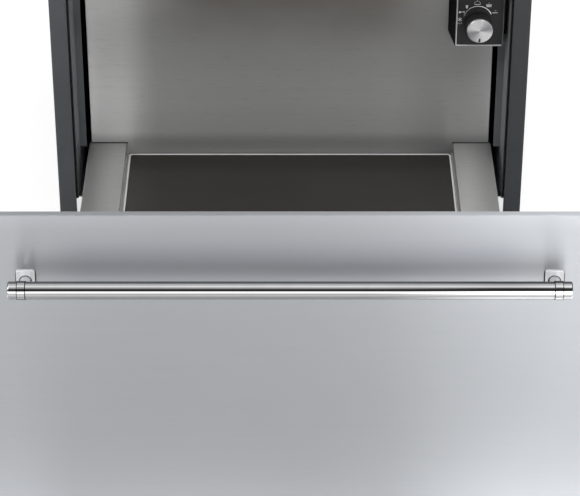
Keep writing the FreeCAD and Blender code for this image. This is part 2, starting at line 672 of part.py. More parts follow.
plate_half = glass_half - 1.0
heat = box(-plate_half, plate_half, gy0 + 1, gy1 - 1, glass_z - glass_t - heat_t, glass_z - glass_t)
save("heat_spreader", heat)
mat_z1 = glass_z - glass_t - heat_t
mat = box(-plate_half + 10, plate_half - 10, gy0 + 14, gy1 - 14, mat_z1 - mat_t, mat_z1)
loops = 9
step = (2 * plate_half - 20) / (loops + 1)
for i in range(loops):
    lx = -plate_half + 10 + step * (i + 1)
    y0, y1 = (gy0 + 13, gy1 - 40) if i % 2 == 0 else (gy0 + 40, gy1 - 13)
    mat = mat.cut(box(lx - 4, lx + 4, y0, y1, mat_z1 - mat_t - 1, mat_z1 + 1))
sensor_x = step / 2
sensor_y = (gy0 + gy1) / 2
mat = mat.cut(cyl(sensor_x, sensor_y, mat_z1 - mat_t - 1, 9.0, mat_t + 2, Z))
save("heating_element", mat)
slab = box(-pan_half + pan_gauge + near, pan_half - pan_gauge - near, pan_y0 + 12.0, pan_y1 - 4.0,
           pan_z + pan_gauge, mat_z1 - mat_t)
slab = slab.cut(cyl(sensor_x, sensor_y, pan_z, 9.0, 30, Z))
save("floor_insulation", slab)
sensor = cyl(sensor_x, sensor_y, mat_z1 - 7.0, 7.5, 7.0, Z)
sensor = sensor.fuse(cyl(sensor_x, sensor_y, mat_z1 - 12.0, 2.0, 6.0, Z)).removeSplitter()
save("temperature_sensor", sensor)


def ledge():
    top = box(ledge_in, ledge_out, pan_y0, pan_y1, ledge_z - sheet, ledge_z)
    riser = box(ledge_in, ledge_in + sheet, pan_y0, pan_y1, glass_z, ledge_z)
    toe = box(frame_out + near, ledge_in + sheet, pan_y0, pan_y1, glass_z - 0.4, glass_z + 0.4)
    skirt = box(ledge_out - sheet, ledge_out, pan_y0, pan_y1, pan_z + 5.0, ledge_z)
    part = join([top, riser, toe, skirt])
    edges = pick(part, lambda e: runs_along(e, 1) and abs(e.CenterOfMass.z - ledge_z) < 1e-6 and
                 (abs(e.CenterOfMass.x - ledge_in) < 1e-6 or abs(e.CenterOfMass.x - ledge_out) < 1e-6))
    part = part.makeFillet(0.75, edges)
    return part


right_ledge = ledge()
save("ledge_right", right_ledge)
save("ledge_left", mirror(right_ledge))

# ---------------------------------------------------------------- drawer: rear wall
wall = box(-wall_half, wall_half, wall_y, wall_y + pan_gauge, pan_z, wall_top)
parts = [wall]
for sx in (-1, 1):
    edge = sx * wall_half
    parts.append(box(edge - sx * pan_gauge, edge, wall_y, flange_y1, pan_z + 45.0, wall_top))
parts.append(box(-wall_half, wall_half, wall_y, flange_y1, wall_top - pan_gauge, wall_top))
wall = join(parts)
edges = pick(wall, lambda e: abs(e.CenterOfMass.y - wall_y) < 1e-6 and
             (abs(e.CenterOfMass.z - wall_top) < 1e-6 or
              (runs_along(e, 2) and abs(abs(e.CenterOfMass.x) - wall_half) < 1e-6)))
wall = wall.makeFillet(0.9, edges)
for sx in (-1, 1):
    wall = wall.cut(box(sx * (pan_half + near), sx * (ledge_out + 1), wall_y - 1, flange_y1 + 1,
                        pan_z - 1, pan_wall_top))
save("rear_wall", wall)

ribs = []
for sx in (-1, 1):
    rx = sx * wall_half * 0.6
    hat = box(rx - 14.0, rx + 14.0, wall_y + pan_gauge, flange_y1, pan_z + 6.0, wall_top - pan_gauge - near)
    hat = hat.cut(box(rx - 13.0, rx + 13.0, wall_y, flange_y1 - 1.0, pan_z, wall_top))
    for side in (-1, 1):
        hat = hat.fuse(box(rx + side * 13.5, rx + side * 24.0, wall_y + pan_gauge, wall_y + 2 * pan_gauge,
                           pan_z + 6.0, wall_top - pan_gauge - near))
    ribs.append(hat.removeSplitter())
save("wall_ribs", ribs)
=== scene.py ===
# %% [markdown]
# # A warming drawer in brushed steel
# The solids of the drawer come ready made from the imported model. This lesson gives each of them
# the finish it has on the real thing, adds the small trim that a solid model leaves out, and sets
# up the camera, the floor and the light. Lengths are in metres. The front faces -Y and +Z is up.

# %% Load the solids
import json
import math

import bmesh
import bpy
from mathutils import Matrix, Vector


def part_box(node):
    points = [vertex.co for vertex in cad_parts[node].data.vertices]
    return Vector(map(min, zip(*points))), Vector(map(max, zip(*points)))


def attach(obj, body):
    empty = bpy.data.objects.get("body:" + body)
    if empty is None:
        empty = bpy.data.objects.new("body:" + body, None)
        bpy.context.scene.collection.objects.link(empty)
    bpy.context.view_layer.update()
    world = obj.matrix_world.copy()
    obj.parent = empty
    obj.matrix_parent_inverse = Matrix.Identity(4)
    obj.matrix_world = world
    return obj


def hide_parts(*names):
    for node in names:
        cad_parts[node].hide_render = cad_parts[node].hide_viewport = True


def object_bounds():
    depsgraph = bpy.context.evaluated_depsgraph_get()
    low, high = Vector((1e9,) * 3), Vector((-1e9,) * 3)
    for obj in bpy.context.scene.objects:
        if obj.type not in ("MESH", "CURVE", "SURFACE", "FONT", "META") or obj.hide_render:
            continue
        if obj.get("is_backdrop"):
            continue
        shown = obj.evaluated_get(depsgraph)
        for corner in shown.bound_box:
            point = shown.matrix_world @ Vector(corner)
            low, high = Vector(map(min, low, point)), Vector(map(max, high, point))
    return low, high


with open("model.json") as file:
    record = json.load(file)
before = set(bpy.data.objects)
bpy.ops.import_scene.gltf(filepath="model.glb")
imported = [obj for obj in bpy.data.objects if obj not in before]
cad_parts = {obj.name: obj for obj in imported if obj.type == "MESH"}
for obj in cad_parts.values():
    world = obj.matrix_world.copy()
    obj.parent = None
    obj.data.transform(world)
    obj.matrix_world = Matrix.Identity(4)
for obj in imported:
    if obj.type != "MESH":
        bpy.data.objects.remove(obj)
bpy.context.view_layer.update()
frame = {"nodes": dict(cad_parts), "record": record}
nodes = frame["nodes"]

# %% [markdown]
# The camera stands in front of the drawer and a little more than a metre above its top. It looks
# down steeply enough to see over the front panel on to the heated glass. A long lens from far off
# keeps the uprights of the housing nearly parallel.

# %% Camera
LENS = 153.17
PITCH = 32.057
camera_data = bpy.data.cameras.new("camera")
camera_data.lens = LENS
camera_data.sensor_width = 36.0
camera_data.clip_start = 0.1
camera_data.clip_end = 60.0
camera = bpy.data.objects.new("camera", camera_data)
camera.location = (0.0, -2.4897, 1.5726)
camera.rotation_euler = (math.radians(90.0 - PITCH), 0.0, 0.0)
bpy.context.scene.collection.objects.link(camera)
bpy.context.scene.camera = camera
bpy.context.scene.view_settings.view_transform = "Standard"
print("camera at", tuple(camera.location))

# %% [markdown]
# Every finish is a small tree of shader nodes. Adding a node takes three steps in Blender: make
# it, set its options, and fill or link its sockets. One helper does all three, so that each
# finish below reads as a short list.

# %% Helper: add a node


def add(tree, kind, options=None, **sockets):
    made = tree.nodes.new("ShaderNode" + kind)
    for name, value in (options or {}).items():
        setattr(made, name, value)
    for name, value in sockets.items():
        place = int(name[1:]) if name[0] == "_" else name.replace("_", " ")
        if isinstance(value, bpy.types.NodeSocket):
            tree.links.new(value, made.inputs[place])
        else:
            made.inputs[place].default_value = value
    return made


# %% [markdown]
# The same few nodes come back all the time, so each gets a short name: sums with numbers and with
# vectors, the three parts of a position, noise, and two ways to mix colours. The most used is
# spread. It is a soft step, 0 where a border starts and 1 where it ends, and it serves as the mask
# of every change. A border is therefore written as a pair, start and end. With between, a mask
# leads from one value to another.

# %% Helpers: sums, masks and colours


def maths(tree, operation, first, second=0.5):
    return add(tree, "Math", {"operation": operation}, _0=first, _1=second).outputs[0]


def times(tree, first, second):
    return maths(tree, "MULTIPLY", first, second)


def vectors(tree, operation, **sockets):
    return add(tree, "VectorMath", {"operation": operation}, **sockets).outputs


def parts(tree, vector):
    return add(tree, "SeparateXYZ", Vector=vector).outputs


def noise(tree, vector, scale, detail, **rest):
    return add(tree, "TexNoise", Vector=vector, Scale=scale, Detail=detail, **rest).outputs[0]


def facing_of(tree):
    return add(tree, "NewGeometry").outputs["Normal"]


def spread(tree, value, low, high, to_low=0.0, to_high=1.0):
    made = add(tree, "MapRange", {"interpolation_type": "SMOOTHSTEP"}, Value=value)
    for name, number in (("From Min", low), ("From Max", high), ("To Min", to_low), ("To Max", to_high)):
        made.inputs[name].default_value = number
    return made.outputs[0]


def between(tree, share, first, last):
    return spread(tree, share, 0.0, 1.0, first, last)


def blend_colours(tree, mask, first, second):
    made = add(tree, "Mix", {"data_type": "RGBA"}, _0=mask)
    for place, colour in ((6, first), (7, second)):
        if isinstance(colour, bpy.types.NodeSocket):
            tree.links.new(colour, made.inputs[place])
        else:
            made.inputs[place].default_value = (*colour, 1.0)
    return made.outputs[2]


def multiply_colours(tree, first, second):
    mixing = {"data_type": "RGBA", "blend_type": "MULTIPLY"}
    return add(tree, "Mix", mixing, _0=1.0, _6=first, _7=second).outputs[2]


# %% [markdown]
# Five effects come back in many finishes, so each is built once as a node group, a tree with its
# own inputs and outputs that any finish can use.

# %% Helpers: start and use a group


def start_group(name, inputs, outputs):
    tree = bpy.data.node_groups.new(name, "ShaderNodeTree")
    for label, kind, value in inputs:
        socket = tree.interface.new_socket(name=label, in_out="INPUT", socket_type="NodeSocket" + kind)
        if value is not None:
            socket.default_value = value
    for label in outputs:
        tree.interface.new_socket(name=label, in_out="OUTPUT", socket_type="NodeSocketFloat")
    return tree, tree.nodes.new("NodeGroupInput").outputs, tree.nodes.new("NodeGroupOutput").inputs


def use_group(tree, group, **sockets):
    return add(tree, "Group", {"node_tree": group}, **sockets).outputs


# %% [markdown]
# Brushing drags grit over the sheet in one direction. Its lines are noise that is stretched along
# that direction: fine lines with broader ones under them, and a few short deeper scratches.

# %% Group: brush lines
VECTOR = ("Vector", "Vector", None)
tree, given, result = start_group("Brush lines", [VECTOR], ["Lines", "Scratches", "Height"])
fine = noise(tree, given["Vector"], 1.0, 3.0, Roughness=0.65)
broader = vectors(tree, "SCALE", Vector=given["Vector"], Scale=0.19)[0]
broad = noise(tree, broader, 1.0, 2.0, Roughness=0.5)
lines = maths(tree, "ADD", times(tree, fine, 0.6), times(tree, broad, 0.4))
short = add(tree, "Mapping", Vector=given["Vector"], Location=(7.0, 3.0, 5.0), Scale=(4.0, 0.5, 0.5))
scratch = noise(tree, short.outputs[0], 1.0, 1.0, Roughness=0.4)
tree.links.new(lines, result["Lines"])
tree.links.new(spread(tree, scratch, 0.62, 0.74), result["Scratches"])
tree.links.new(fine, result["Height"])
brush_lines = tree
print("group", brush_lines.name)

# %% [markdown]
# Hands and cloths change the shine in soft patches. Powder coat and moulded plastic have a fine
# orange peel, and their colour drifts a little over a much longer distance.

# %% Groups: handling marks and fine grain
tree, given, result = start_group("Handling marks", [VECTOR, ("Size", "Float", 6.0)], ["Patches"])
cloudy = noise(tree, given["Vector"], given["Size"], 4.0, Roughness=0.55, Distortion=0.4)
tree.links.new(spread(tree, cloudy, 0.35, 0.7), result["Patches"])
handling_marks = tree
tree, given, result = start_group("Fine grain", [VECTOR, ("Scale", "Float", 900.0)], ["Grain", "Height"])
peel = noise(tree, given["Vector"], given["Scale"], 2.0, Roughness=0.6)
drift = noise(tree, given["Vector"], times(tree, given["Scale"], 0.02), 3.0)
tree.links.new(drift, result["Grain"])
tree.links.new(peel, result["Height"])
fine_grain = tree
print("groups", handling_marks.name, "and", fine_grain.name)

# %% [markdown]
# Edges are rubbed first. They are found by comparing the true normal with one that is rounded
# over the edge. Dust lies only where a surface looks up.

# %% Groups: worn edges and dust
tree, given, result = start_group("Worn edges", [("Width", "Float", 0.0008)], ["Edge"])
rounded = add(tree, "Bevel", {"samples": 6}, Radius=given["Width"]).outputs[0]
likeness = vectors(tree, "DOT_PRODUCT", _0=rounded, _1=facing_of(tree))["Value"]
rubbed = maths(tree, "SUBTRACT", 1.0, likeness)
tree.links.new(spread(tree, rubbed, 0.01, 0.25), result["Edge"])
worn_edges = tree
tree, given, result = start_group("Dust", [VECTOR, ("Amount", "Float", 0.3)], ["Cover"])
upward = parts(tree, facing_of(tree))["Z"]
settled = noise(tree, given["Vector"], 35.0, 5.0, Roughness=0.7)
lying = times(tree, spread(tree, upward, 0.6, 0.98), spread(tree, settled, 0.35, 0.8))
tree.links.new(times(tree, lying, given["Amount"]), result["Cover"])
dust = tree
print("groups", worn_edges.name, "and", dust.name)

# %% [markdown]
# Each finish starts the same way: a material with a Principled shader and the object's own
# coordinates, which stay put when the piece moves. A value that is the same all over the surface
# is typed on the shader itself, and what varies is wired to it. Later steps take up the colour
# that is wired already and change it where a mask says so.

# %% Helpers: start, wire and recolour a finish
finishes = {}


def start_finish(slot, **constants):
    material = bpy.data.materials.new(slot)
    material.use_nodes = True
    tree = material.node_tree
    shader = tree.nodes["Principled BSDF"]
    for name, value in constants.items():
        shader.inputs[name.replace("_", " ")].default_value = value
    finishes[slot] = material
    return tree, shader, add(tree, "TexCoord").outputs["Object"]


def wire(tree, node, **sockets):
    for name, value in sockets.items():
        tree.links.new(value, node.inputs[name.replace("_", " ")])


def wired(node, name):
    return node.inputs[name].links[0].from_socket


def recolour(tree, shader, mask, colour):
    wire(tree, shader, Base_Color=blend_colours(tree, mask, wired(shader, "Base Color"), colour))


def bump_from(tree, shader, height, depth):
    made = add(tree, "Bump", Height=height, Strength=1.0, Distance=depth)
    wire(tree, shader, Normal=made.outputs[0])


# %% [markdown]
# Brushed steel is the main finish of this drawer. The brushing leaves fine parallel scratches, so
# light spreads widely across the lines and hardly at all along them. The shader gets this from
# Anisotropic and a tangent that points across the lines. That is the cross product of the normal
# and the direction of the lines, so one finish suits upright and flat faces alike. The lines
# themselves vary the colour, the roughness and the height a little.

# %% Helper: brushed metal
ALONG_X = ((12.0, 900.0, 900.0), (1.0, 0.0, 0.0))
ALONG_Y = ((900.0, 12.0, 900.0), (0.0, 1.0, 0.0))
SHINE_SWING = 0.05
BRUSH_DEPTH = 0.00001
NEVER_ZERO = (0.001, 0.001, 0.002)


def shades(colour, tone):
    return tuple(c * (1.0 - tone) for c in colour), tuple(min(1.0, c * (1.0 + tone)) for c in colour)


def brushed_metal(slot, colour, roughness, lines, anisotropic, metallic=1.0, tone=0.05, marks=5.0,
                  edge=0.0, scratches=0.2):
    tree, shader, place = start_finish(slot, Metallic=metallic, Anisotropic=anisotropic)
    scale, direction = lines
    stretched = add(tree, "Mapping", Vector=place, Scale=scale)
    brush = use_group(tree, brush_lines, Vector=stretched.outputs[0])
    hands = use_group(tree, handling_marks, Vector=place, Size=marks)
    from_lines = times(tree, maths(tree, "SUBTRACT", brush["Lines"], 0.5), SHINE_SWING)
    from_hands = times(tree, hands["Patches"], SHINE_SWING * 0.6)
    shine = maths(tree, "ADD", maths(tree, "ADD", from_lines, from_hands), roughness)
    streaked = blend_colours(tree, brush["Lines"], *shades(colour, tone))
    wire(tree, shader, Base_Color=streaked, Roughness=shine)
    recolour(tree, shader, times(tree, brush["Scratches"], scratches), tuple(c * 0.6 for c in colour))
    if edge:
        rubbed = times(tree, use_group(tree, worn_edges, Width=edge)["Edge"], 0.5)
        recolour(tree, shader, rubbed, tuple(min(1.0, c * 1.5) for c in colour))
    bump_from(tree, shader, brush["Height"], BRUSH_DEPTH)
    if anisotropic:
        across = vectors(tree, "CROSS_PRODUCT", _0=facing_of(tree), _1=direction)[0]
        wire(tree, shader, Tangent=vectors(tree, "ADD", _0=across, _1=NEVER_ZERO)[0])
    print("finish", slot)
    return tree, shader, place


# %% [markdown]
# The front panel is one brushed sheet. At the height of the bar its colour is painted a shade darker, a
# painted shadow of the bar, and its upper band is painted lighter, with a painted highlight along the rim
# where the sheet folds over. The bar hides some of the room from the panel right behind it, so the panel is
# painted darker when it is seen as a mirror image in the bar: a painted shade in reflections.

# %% Steel of the front panel
FRONT, PAINTED_SHADE_BY_BAR = (0.505, 0.521, 0.545), (0.445, 0.460, 0.495)
PAINTED_LIGHT_UPPER, PAINTED_HIGHLIGHT_RIM = (0.56, 0.577, 0.607), (0.80, 0.79, 0.83)
PAINTED_SHADE_IN_MIRRORS, MIRROR_SHARE = (0.03, 0.03, 0.032), 0.65
BAR_SHADE_Z, BAR_SHADE_REACH, BAR_SHADE_SIDES = 0.297, (0.036, 0.010), (0.245, 0.195)
PAINTED_LIGHT_UPPER_Z, PAINTED_HIGHLIGHT_RIM_Z = (0.330, 0.352), (0.3495, 0.3510)
tree, shader, place = brushed_metal("front_stainless", FRONT, 0.40, ALONG_X, 1.0, marks=4.0, scratches=0.03)
spot = parts(tree, place)
# Painted shadow of the bar: the panel is darker at the bar's height, fading out towards its ends.
from_bar_shade = maths(tree, "ABSOLUTE", maths(tree, "SUBTRACT", spot["Z"], BAR_SHADE_Z))
from_middle = maths(tree, "ABSOLUTE", spot["X"])
bar_shade_mask = times(tree, spread(tree, from_bar_shade, *BAR_SHADE_REACH), spread(tree, from_middle, *BAR_SHADE_SIDES))
recolour(tree, shader, bar_shade_mask, PAINTED_SHADE_BY_BAR)
# Painted light on the upper band and a painted highlight on the rim.
recolour(tree, shader, spread(tree, spot["Z"], *PAINTED_LIGHT_UPPER_Z), PAINTED_LIGHT_UPPER)
recolour(tree, shader, spread(tree, spot["Z"], *PAINTED_HIGHLIGHT_RIM_Z), PAINTED_HIGHLIGHT_RIM)
# Painted shade, seen only in reflections.
mirrored = times(tree, add(tree, "LightPath").outputs["Is Glossy Ray"], MIRROR_SHARE)
recolour(tree, shader, mirrored, PAINTED_SHADE_IN_MIRRORS)

# %% [markdown]
# The ledges beside the glass are satin steel. Towards the housing their colour is painted darker, a painted
# shade.

# %% Satin ledges
LEDGE, LEDGE_PAINTED_SHADE = (0.57, 0.57, 0.56), (0.36, 0.36, 0.355)
LEDGE_SHADE_X = (0.200, 0.237)
tree, shader, place = brushed_metal("satin_stainless", LEDGE, 0.42, ALONG_X, 1.0, metallic=0.9, tone=0.07)
# Painted shade on the outer part of each ledge.
outward = spread(tree, maths(tree, "ABSOLUTE", parts(tree, place)["X"]), *LEDGE_SHADE_X)
recolour(tree, shader, outward, LEDGE_PAINTED_SHADE)

# %% [markdown]
# The other bare metals differ in colour, in shine and in how strongly they are brushed. Drawn or
# turned parts, such as the runners, screws and pins, show rubbed edges or no direction at all.

# %% Other bare metals
brushed_metal("runner_steel", (0.50, 0.51, 0.53), 0.30, ALONG_Y, 0.4, tone=0.10, edge=0.0005)
brushed_metal("trim_light", (0.66, 0.66, 0.655), 0.30, ALONG_X, 0.0, metallic=0.15, tone=0.04, scratches=0.0)
brushed_metal("spreader", (0.60, 0.60, 0.61), 0.35, ALONG_Y, 0.7, tone=0.08)
brushed_metal("shaft_steel", (0.55, 0.55, 0.56), 0.25, ALONG_Y, 0.0)
brushed_metal("screw_steel", (0.58, 0.58, 0.60), 0.28, ALONG_Y, 0.0, tone=0.12, marks=300.0, edge=0.0004)
brushed_metal("pin_brass", (0.72, 0.60, 0.30), 0.25, ALONG_Y, 0.0, tone=0.08)

# %% [markdown]
# The wall at the back of the drawer is brushed steel too. Its colour is painted lighter on its left margin
# and its lower half and darker on its right side, as painted light and shade, and painted shade darkens the
# corner at the bottom.

# %% Back wall: painted light and shade
WALL, WALL_PAINTED_LIGHT_LEFT, WALL_PAINTED_MIDDLE, WALL_PAINTED_SHADE_RIGHT = (0.78, 0.78, 0.772), (1.0,) * 3, (0.72,) * 3, (0.475,) * 3
LEFT_X, RIGHT_X = (-0.20, -0.15), (0.11, 0.20)
LOWER_Z, CORNER_Z = (0.27, 0.17), (0.150, 0.132)
tree, shader, place = brushed_metal("wall_stainless", WALL, 0.42, ALONG_X, 1.0, metallic=0.8, tone=0.07,
                                    scratches=0.22)
spot = parts(tree, place)
# Painted light on the left margin and painted shade on the right side.
wall_light_across = blend_colours(tree, spread(tree, spot["X"], *LEFT_X), WALL_PAINTED_LIGHT_LEFT, WALL_PAINTED_MIDDLE)
wall_light_across = blend_colours(tree, spread(tree, spot["X"], *RIGHT_X), wall_light_across, WALL_PAINTED_SHADE_RIGHT)
# Painted light on the lower half and painted shade in the bottom corner.
wall_light_lower = spread(tree, spot["Z"], *LOWER_Z, 0.96, 1.30)
wall_shade_corner = spread(tree, spot["Z"], *CORNER_Z, 1.0, 0.64)
wall_lit_across = multiply_colours(tree, wired(shader, "Base Color"), wall_light_across)
wire(tree, shader, Base_Color=multiply_colours(tree, wall_lit_across, times(tree, wall_light_lower, wall_shade_corner)))

# %% [markdown]
# High up in the middle the wall's colour is painted a warm dark shade, a painted shade where the housing's
# top keeps light off it. It is strongest high up in the middle and dies away downwards and to both sides,
# with a cloudy border.

# %% Back wall: painted warm shade
WALL_WARM_SHADE, WARM_SHADE_Z, WARM_SHADE_X = (0.24, 0.22, 0.19), (0.24, 0.35), (0.19, 0.10)
# Painted shade, strongest high up in the middle of the wall.
shift = times(tree, maths(tree, "SUBTRACT", noise(tree, place, 9.0, 3.0), 0.5), 0.05)
high = spread(tree, maths(tree, "ADD", spot["Z"], shift), *WARM_SHADE_Z)
aside = maths(tree, "ABSOLUTE", maths(tree, "ADD", spot["X"], shift))
recolour(tree, shader, times(tree, high, spread(tree, aside, *WARM_SHADE_X)), WALL_WARM_SHADE)
print("painted warm shade on the back wall")

# %% [markdown]
# The bar's colour is painted darker in a belt along its front and on the whole of its underside, mostly on
# the left: painted shade and dark reflections. At its right end the top is painted darker, with a painted
# dark line along the border. The masks come from how far the surface faces up, 1 for straight up and -1 for
# down, so the borders run straight along the bar.

# %% Helper: painted shade on the bar
BAR_PAINTED_SHADE, BAR_TOP_PAINTED_SHADE, PAINTED_DARK_LINE = (0.34, 0.34, 0.345), (0.30, 0.30, 0.305), (0.03, 0.03, 0.03)
BELT_TOP, BELT_FOOT, UNDERSIDE = (0.28, 0.23), (0.00, 0.10), (-0.15, -0.35)
TOP_SIDE, LINE_FOOT, LINE_TOP = (0.60, 0.66), (0.60, 0.64), (0.75, 0.71)
BAR_SHADE_X, RIGHT_END_X = (0.20, 0.06), (0.08, 0.22)


def bar_painted_shade(tree, place, colour):
    across = parts(tree, place)["X"]
    facing = parts(tree, facing_of(tree))["Z"]
    # Painted shade on the front belt and the underside, mostly on the left.
    belt = times(tree, spread(tree, facing, *BELT_TOP), spread(tree, facing, *BELT_FOOT))
    shaded_belt = maths(tree, "MAXIMUM", belt, spread(tree, facing, *UNDERSIDE))
    shaded_belt = times(tree, shaded_belt, spread(tree, across, *BAR_SHADE_X))
    shaded = blend_colours(tree, shaded_belt, colour, BAR_PAINTED_SHADE)
    right = spread(tree, across, *RIGHT_END_X)
    shaded_top = times(tree, right, spread(tree, facing, *TOP_SIDE))
    shaded = blend_colours(tree, shaded_top, shaded, BAR_TOP_PAINTED_SHADE)
    # Painted dark line along the border of the darker top.
    dark_line = times(tree, spread(tree, facing, *LINE_FOOT), spread(tree, facing, *LINE_TOP))
    return blend_colours(tree, times(tree, right, dark_line), shaded, PAINTED_DARK_LINE)


# %% [markdown]
# The bar is polished until the scratches are gone, so it mirrors the room. Real polish keeps faint
# hairlines and fingerprints, which only show as small changes of the shine.

# %% Polished bar
tree, shader, place = start_finish("polished_handle", Metallic=1.0)
prints = use_group(tree, handling_marks, Vector=place, Size=45.0)["Patches"]
stretched = add(tree, "Mapping", Vector=place, Scale=ALONG_X[0])
hairlines = use_group(tree, brush_lines, Vector=stretched.outputs[0])["Lines"]
dull = maths(tree, "ADD", times(tree, prints, 0.03), times(tree, hairlines, 0.02))
tinted = blend_colours(tree, prints, (0.74, 0.74, 0.75), (0.70, 0.70, 0.71))
# The bar's colour carries the painted shade and dark reflections from above.
wire(tree, shader, Roughness=maths(tree, "ADD", dull, 0.015), Base_Color=bar_painted_shade(tree, place, tinted))
print("finish polished_handle")

# %% [markdown]
# The bar sits on two brackets. Each has a satin foot on the panel, a round arm and a collar. Painted dark
# lines, as painted shade, run round the root of the arm, along its sides and at the edges of the foot. The
# masks measure how far a point lies from the middle of the arm. The arm itself is painted bright, a painted
# highlight.

# %% Feet and arms of the brackets
ARM_R = 0.0055
FOOT_HALF = 0.0118
BRACKET, ARM_PAINTED_HIGHLIGHT = (0.70, 0.71, 0.73), (0.97, 0.97, 0.98)
FOOT_EDGE, FOOT_Y = (0.0088, 0.0094), (-0.4815, -0.4822)
ARM_EDGE, ARM_INSIDE = (0.0044, 0.0050), (0.0060, 0.0054)
bracket_low, bracket_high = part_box("handle_bracket_right")
ARM_X = (bracket_low.x + bracket_high.x) / 2
ARM_Z = bracket_low.z + FOOT_HALF
tree, shader, place = brushed_metal("satin_bracket", BRACKET, 0.34, ALONG_X, 0.0, metallic=0.5, tone=0.03,
                                    scratches=0.0)
spot = parts(tree, place)
off = maths(tree, "ABSOLUTE", maths(tree, "SUBTRACT", maths(tree, "ABSOLUTE", spot["X"]), ARM_X))
beside = add(tree, "CombineXYZ", X=off, Y=0.0, Z=maths(tree, "SUBTRACT", spot["Z"], ARM_Z))
from_arm = vectors(tree, "LENGTH", _0=beside.outputs[0])["Value"]
root_line = times(tree, spread(tree, from_arm, ARM_R - 0.0002, ARM_R + 0.0002),
                  spread(tree, from_arm, ARM_R + 0.0012, ARM_R + 0.0007))
foot_line = spread(tree, off, *FOOT_EDGE)
off_foot = spread(tree, spot["Y"], *FOOT_Y)
arm_line = times(tree, spread(tree, off, *ARM_EDGE), off_foot)
arm_highlight = times(tree, spread(tree, off, *ARM_INSIDE), off_foot)
# Painted shade in thin dark lines, and a painted highlight on the arm.
painted_dark_lines = maths(tree, "MAXIMUM", maths(tree, "MAXIMUM", foot_line, root_line), arm_line)
recolour(tree, shader, arm_highlight, ARM_PAINTED_HIGHLIGHT)
recolour(tree, shader, painted_dark_lines, PAINTED_DARK_LINE)
print("arms at x", round(ARM_X, 5), "and z", round(ARM_Z, 5))

# %% [markdown]
# The collar is polished like the bar, so the satin, its brushing and its bump fade out where the collar
# starts, and it gets the same painted shade as the bar. A thin dark ring on each side marks where the collar
# ends.

# %% Collars of the brackets
COLLAR, COLLAR_Y = (0.72, 0.72, 0.73), (-0.500, -0.508)
RING, RING_EDGE, RING_Y = (0.05, 0.05, 0.05), (0.0033, 0.0038), (-0.503, -0.505)
collar = spread(tree, spot["Y"], *COLLAR_Y)
ring_line = times(tree, spread(tree, off, *RING_EDGE), spread(tree, spot["Y"], *RING_Y))
# The bar's painted shade and dark reflections, on the collar.
recolour(tree, shader, collar, bar_painted_shade(tree, place, COLLAR))
recolour(tree, shader, ring_line, RING)
wire(tree, shader, Roughness=between(tree, collar, 0.34, 0.03), Metallic=between(tree, collar, 0.5, 1.0))
bump = wired(shader, "Normal").node
wire(tree, bump, Height=times(tree, wired(bump, "Height"), spread(tree, collar, 1.0, 0.0)))
print("collars polished")

# %% [markdown]
# The housing has a fine powder coat in dark grey. It is a dull paint with a slight orange peel, a little
# lighter where edges have been rubbed, and it gathers dust on top. Its colour is painted lighter on the left
# and darker towards the right, as painted light and shade.

# %% Powder coat
COAT_DARK, COAT_LIGHT = (0.026, 0.028, 0.0305), (0.036, 0.039, 0.043)
COAT_RUBBED, DUST_GREY = (0.16, 0.165, 0.17), (0.20, 0.195, 0.185)
COAT_PAINTED_X, COAT_PAINTED_LEFT, COAT_PAINTED_RIGHT = (-0.27, 0.27), 1.40, 0.70
tree, shader, place = start_finish("shell_grey", Specular_IOR_Level=0.4)
grain = use_group(tree, fine_grain, Vector=place, Scale=1500.0)
coat = blend_colours(tree, grain["Grain"], COAT_DARK, COAT_LIGHT)
# Painted light on the left, painted shade on the right.
coat_light_across = spread(tree, parts(tree, place)["X"], *COAT_PAINTED_X, COAT_PAINTED_LEFT, COAT_PAINTED_RIGHT)
coat = multiply_colours(tree, coat, coat_light_across)
hands = use_group(tree, handling_marks, Vector=place, Size=7.0)["Patches"]
wire(tree, shader, Base_Color=coat, Roughness=between(tree, hands, 0.50, 0.54))
rubbed = times(tree, use_group(tree, worn_edges, Width=0.0007)["Edge"], 0.35)
recolour(tree, shader, rubbed, COAT_RUBBED)
recolour(tree, shader, use_group(tree, dust, Vector=place, Amount=0.035)["Cover"], DUST_GREY)
bump_from(tree, shader, grain["Height"], 0.00003)
print("finish shell_grey")

# %% [markdown]
# Zinc-coated sheet shows spangle: flat crystals, each with its own grey and its own shine. A
# Voronoi texture gives each crystal a value, and noise breaks up its straight borders.

# %% Galvanised sheet
ZINC_DARK, ZINC_LIGHT = (0.27, 0.28, 0.29), (0.40, 0.41, 0.42)
tree, shader, place = start_finish("galvanised", Metallic=1.0)
wobble = add(tree, "TexNoise", Vector=place, Scale=160.0, Detail=2.0)
shaken = vectors(tree, "MULTIPLY_ADD", _0=wobble.outputs["Color"], _1=(0.004,) * 3, _2=place)[0]
crystals = add(tree, "TexVoronoi", Vector=shaken, Scale=95.0)
crystal = add(tree, "SeparateColor", Color=crystals.outputs["Color"]).outputs[0]
wire(tree, shader, Base_Color=blend_colours(tree, crystal, ZINC_DARK, ZINC_LIGHT),
     Roughness=between(tree, crystal, 0.32, 0.50))
bump_from(tree, shader, crystal, 0.00002)
print("finish galvanised")

# %% [markdown]
# The heated floor of the drawer is glass-ceramic, printed dark from below. It is smooth, so what
# shows is mostly a dim mirror image of the wall behind it. Wiping leaves faint arcs.

# %% Dark glass
GLASS_WIPED, GLASS_SMEARED = (0.0185, 0.0162, 0.0145), (0.0225, 0.0200, 0.0184)
tree, shader, place = start_finish("dark_glass", IOR=1.52, Coat_Weight=0.15, Coat_Roughness=0.2)
smears = use_group(tree, handling_marks, Vector=place, Size=5.0)["Patches"]
wire(tree, shader, Base_Color=blend_colours(tree, smears, GLASS_WIPED, GLASS_SMEARED),
     Roughness=between(tree, smears, 0.16, 0.24))
bump_from(tree, shader, noise(tree, place, 60.0, 2.0), 0.00001)
print("finish dark_glass")

